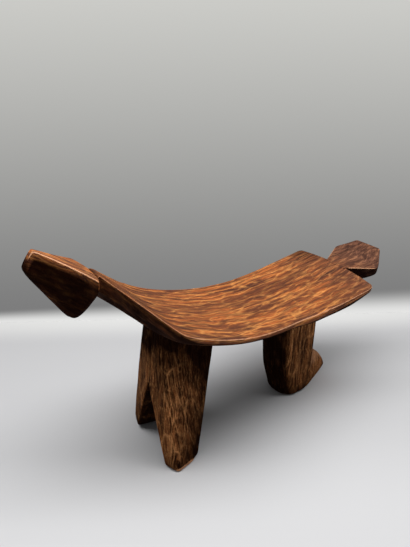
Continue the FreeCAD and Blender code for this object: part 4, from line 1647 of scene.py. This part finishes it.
def backdrop_material(stage):
    """Backdrop that glows with its own grey as painted light for the camera, mirrors and glass, paler at its
    foot and towards its top, and is clear to every other ray and from behind."""
    material = bpy.data.materials.new("stage_backdrop")
    material.use_nodes = True
    tree = material.node_tree
    tree.nodes.clear()
    height = stage_distance(tree, UPWARDS)
    band = put(tree, "ShaderNodeMapRange", inputs={
        "Value": stage_distance(tree, WALL_ALONG), "From Min": -WALL_FOOT_REACH,
        "From Max": WALL_FOOT_REACH, "To Min": WALL_FOOT_LEFT, "To Max": WALL_FOOT_RIGHT}).outputs["Result"]
    rise = maths(tree, "POWER", ramp(tree, height, WALL_FOOT_LEFT, WALL_TOP, soft=False), WALL_POWER)
    grey = blend(tree, rise, opaque(stage.wall_low), opaque(stage.wall_high))
    grey = blend(tree, ramp(tree, height, 0.0, band), opaque(stage.wall_foot), grey)
    glow = put(tree, "ShaderNodeEmission", inputs={"Color": grey, "Strength": 1.0})
    clear = put(tree, "ShaderNodeBsdfTransparent")
    behind = put(tree, "ShaderNodeNewGeometry").outputs["Backfacing"]
    ray = put(tree, "ShaderNodeLightPath").outputs
    seen = ray["Is Camera Ray"]
    for kind in ("Is Glossy Ray", "Is Transmission Ray"):
        seen = maths(tree, "MAXIMUM", seen, ray[kind])
    shown = maths(tree, "MULTIPLY", seen, maths(tree, "SUBTRACT", 1.0, behind))
    either = put(tree, "ShaderNodeMixShader", inputs={0: shown, 1: clear.outputs[0], 2: glow.outputs[0]})
    put(tree, "ShaderNodeOutputMaterial", inputs={"Surface": either.outputs[0]})
    return material


def floor_sheet(stage):
    """The floor, a wide square about the origin."""
    turns = ((-1, -1), (1, -1), (1, 1), (-1, 1))
    corners = [(x * FLOOR_HALF, y * FLOOR_HALF, 0.0) for x, y in turns]
    stage_sheet("floor", corners, floor_material(stage))


def backdrop_sheet(stage):
    """The backdrop, upright behind the chair, which casts no shadow."""
    middle = WALL_DISTANCE * np.array(WALL_NORMAL)
    reach = WALL_HALF * np.array(WALL_ALONG)
    up = WALL_HEIGHT * np.array(UPWARDS)
    corners = [middle - reach, middle + reach, middle + reach + up, middle - reach + up]
    sheet = stage_sheet("backdrop", [tuple(corner) for corner in corners], backdrop_material(stage))
    sheet.visible_shadow = False


def world_light():
    """Faint even light from all round."""
    world = bpy.data.worlds.new("studio")
    world.use_nodes = True
    shader = world.node_tree.nodes["Background"].inputs
    shader["Color"].default_value = WHITE
    shader["Strength"].default_value = WORLD_LIGHT
    bpy.context.scene.world = world


def place_on_stage(name, data, location, turn):
    """An object for a lamp or a camera, at a place and turned by angles about X, Y and Z."""
    holder = bpy.data.objects.new(name, data)
    holder.location = location
    holder.rotation_euler = turn
    bpy.context.scene.collection.objects.link(holder)
    return holder


def overhead_lamp():
    """Long soft lamp over the chair, level with the backdrop."""
    lamp = bpy.data.lights.new("overhead", "AREA")
    lamp.shape = "RECTANGLE"
    lamp.size = LAMP_LENGTH
    lamp.size_y = LAMP_DEPTH
    lamp.energy = LAMP_POWER
    place_on_stage("overhead", lamp, LAMP_PLACE, (0.0, 0.0, -math.atan2(WALL_NORMAL[0], WALL_NORMAL[1])))


def photo_camera():
    """Camera at the photograph's viewing angle."""
    camera = bpy.data.cameras.new("photo")
    camera.sensor_width = CAMERA_SENSOR
    camera.lens = CAMERA_LENS
    turn = tuple(math.radians(turn) for turn in CAMERA_TURN)
    bpy.context.scene.camera = place_on_stage("photo", camera, CAMERA_PLACE, turn)


class CHAIR_OT_stage(Operator):
    """Set up floor, backdrop, light and camera"""
    bl_idname = "chair.stage"
    bl_label = "Stage"

    def execute(self, context):
        floor_sheet(context.scene.chair_stage)
        backdrop_sheet(context.scene.chair_stage)
        world_light()
        overhead_lamp()
        photo_camera()
        context.scene.view_settings.view_transform = "Standard"
        return {"FINISHED"}


class CHAIR_PT_panel(Panel):
    """Lists the chair's pieces, sizes and colours"""
    bl_label = "Travel chair"
    bl_idname = "CHAIR_PT_panel"
    bl_space_type = "VIEW_3D"
    bl_region_type = "UI"
    bl_category = "Chair"

    def draw(self, context):
        for name, (group, operator) in SETTINGS.items():
            box = self.layout.box()
            if operator:
                box.operator(operator.bl_idname)
            for key in group.__annotations__:
                box.prop(getattr(context.scene, name), key)


# Each group of settings, and the operator that builds from it
SETTINGS = {
    "chair_seat": (ChairSeat, CHAIR_OT_seat),
    "chair_head": (ChairHead, CHAIR_OT_head),
    "chair_tail": (ChairTail, CHAIR_OT_tail),
    "chair_fork": (ChairFork, CHAIR_OT_front_legs),
    "chair_rear": (ChairRearLeg, CHAIR_OT_rear_leg),
    "chair_wood": (ChairWood, None),
    "chair_stage": (ChairStage, CHAIR_OT_stage),
}
CLASSES = [item for pair in SETTINGS.values() for item in pair if item] + [CHAIR_PT_panel]


def register():
    """Make the sizes, operators and panel known."""
    for item in CLASSES:
        bpy.utils.register_class(item)
    for name, (group, _) in SETTINGS.items():
        setattr(bpy.types.Scene, name, PointerProperty(type=group))


def unregister():
    """Take them away again."""
    for name in SETTINGS:
        delattr(bpy.types.Scene, name)
    for item in reversed(CLASSES):
        bpy.utils.unregister_class(item)


def main():
    """Build the chair and its stage."""
    register()
    bpy.ops.chair.seat()
    bpy.ops.chair.head()
    bpy.ops.chair.tail()
    bpy.ops.chair.front_legs()
    bpy.ops.chair.rear_leg()
    bpy.ops.chair.stage()


if __name__ == "__main__":
    main()
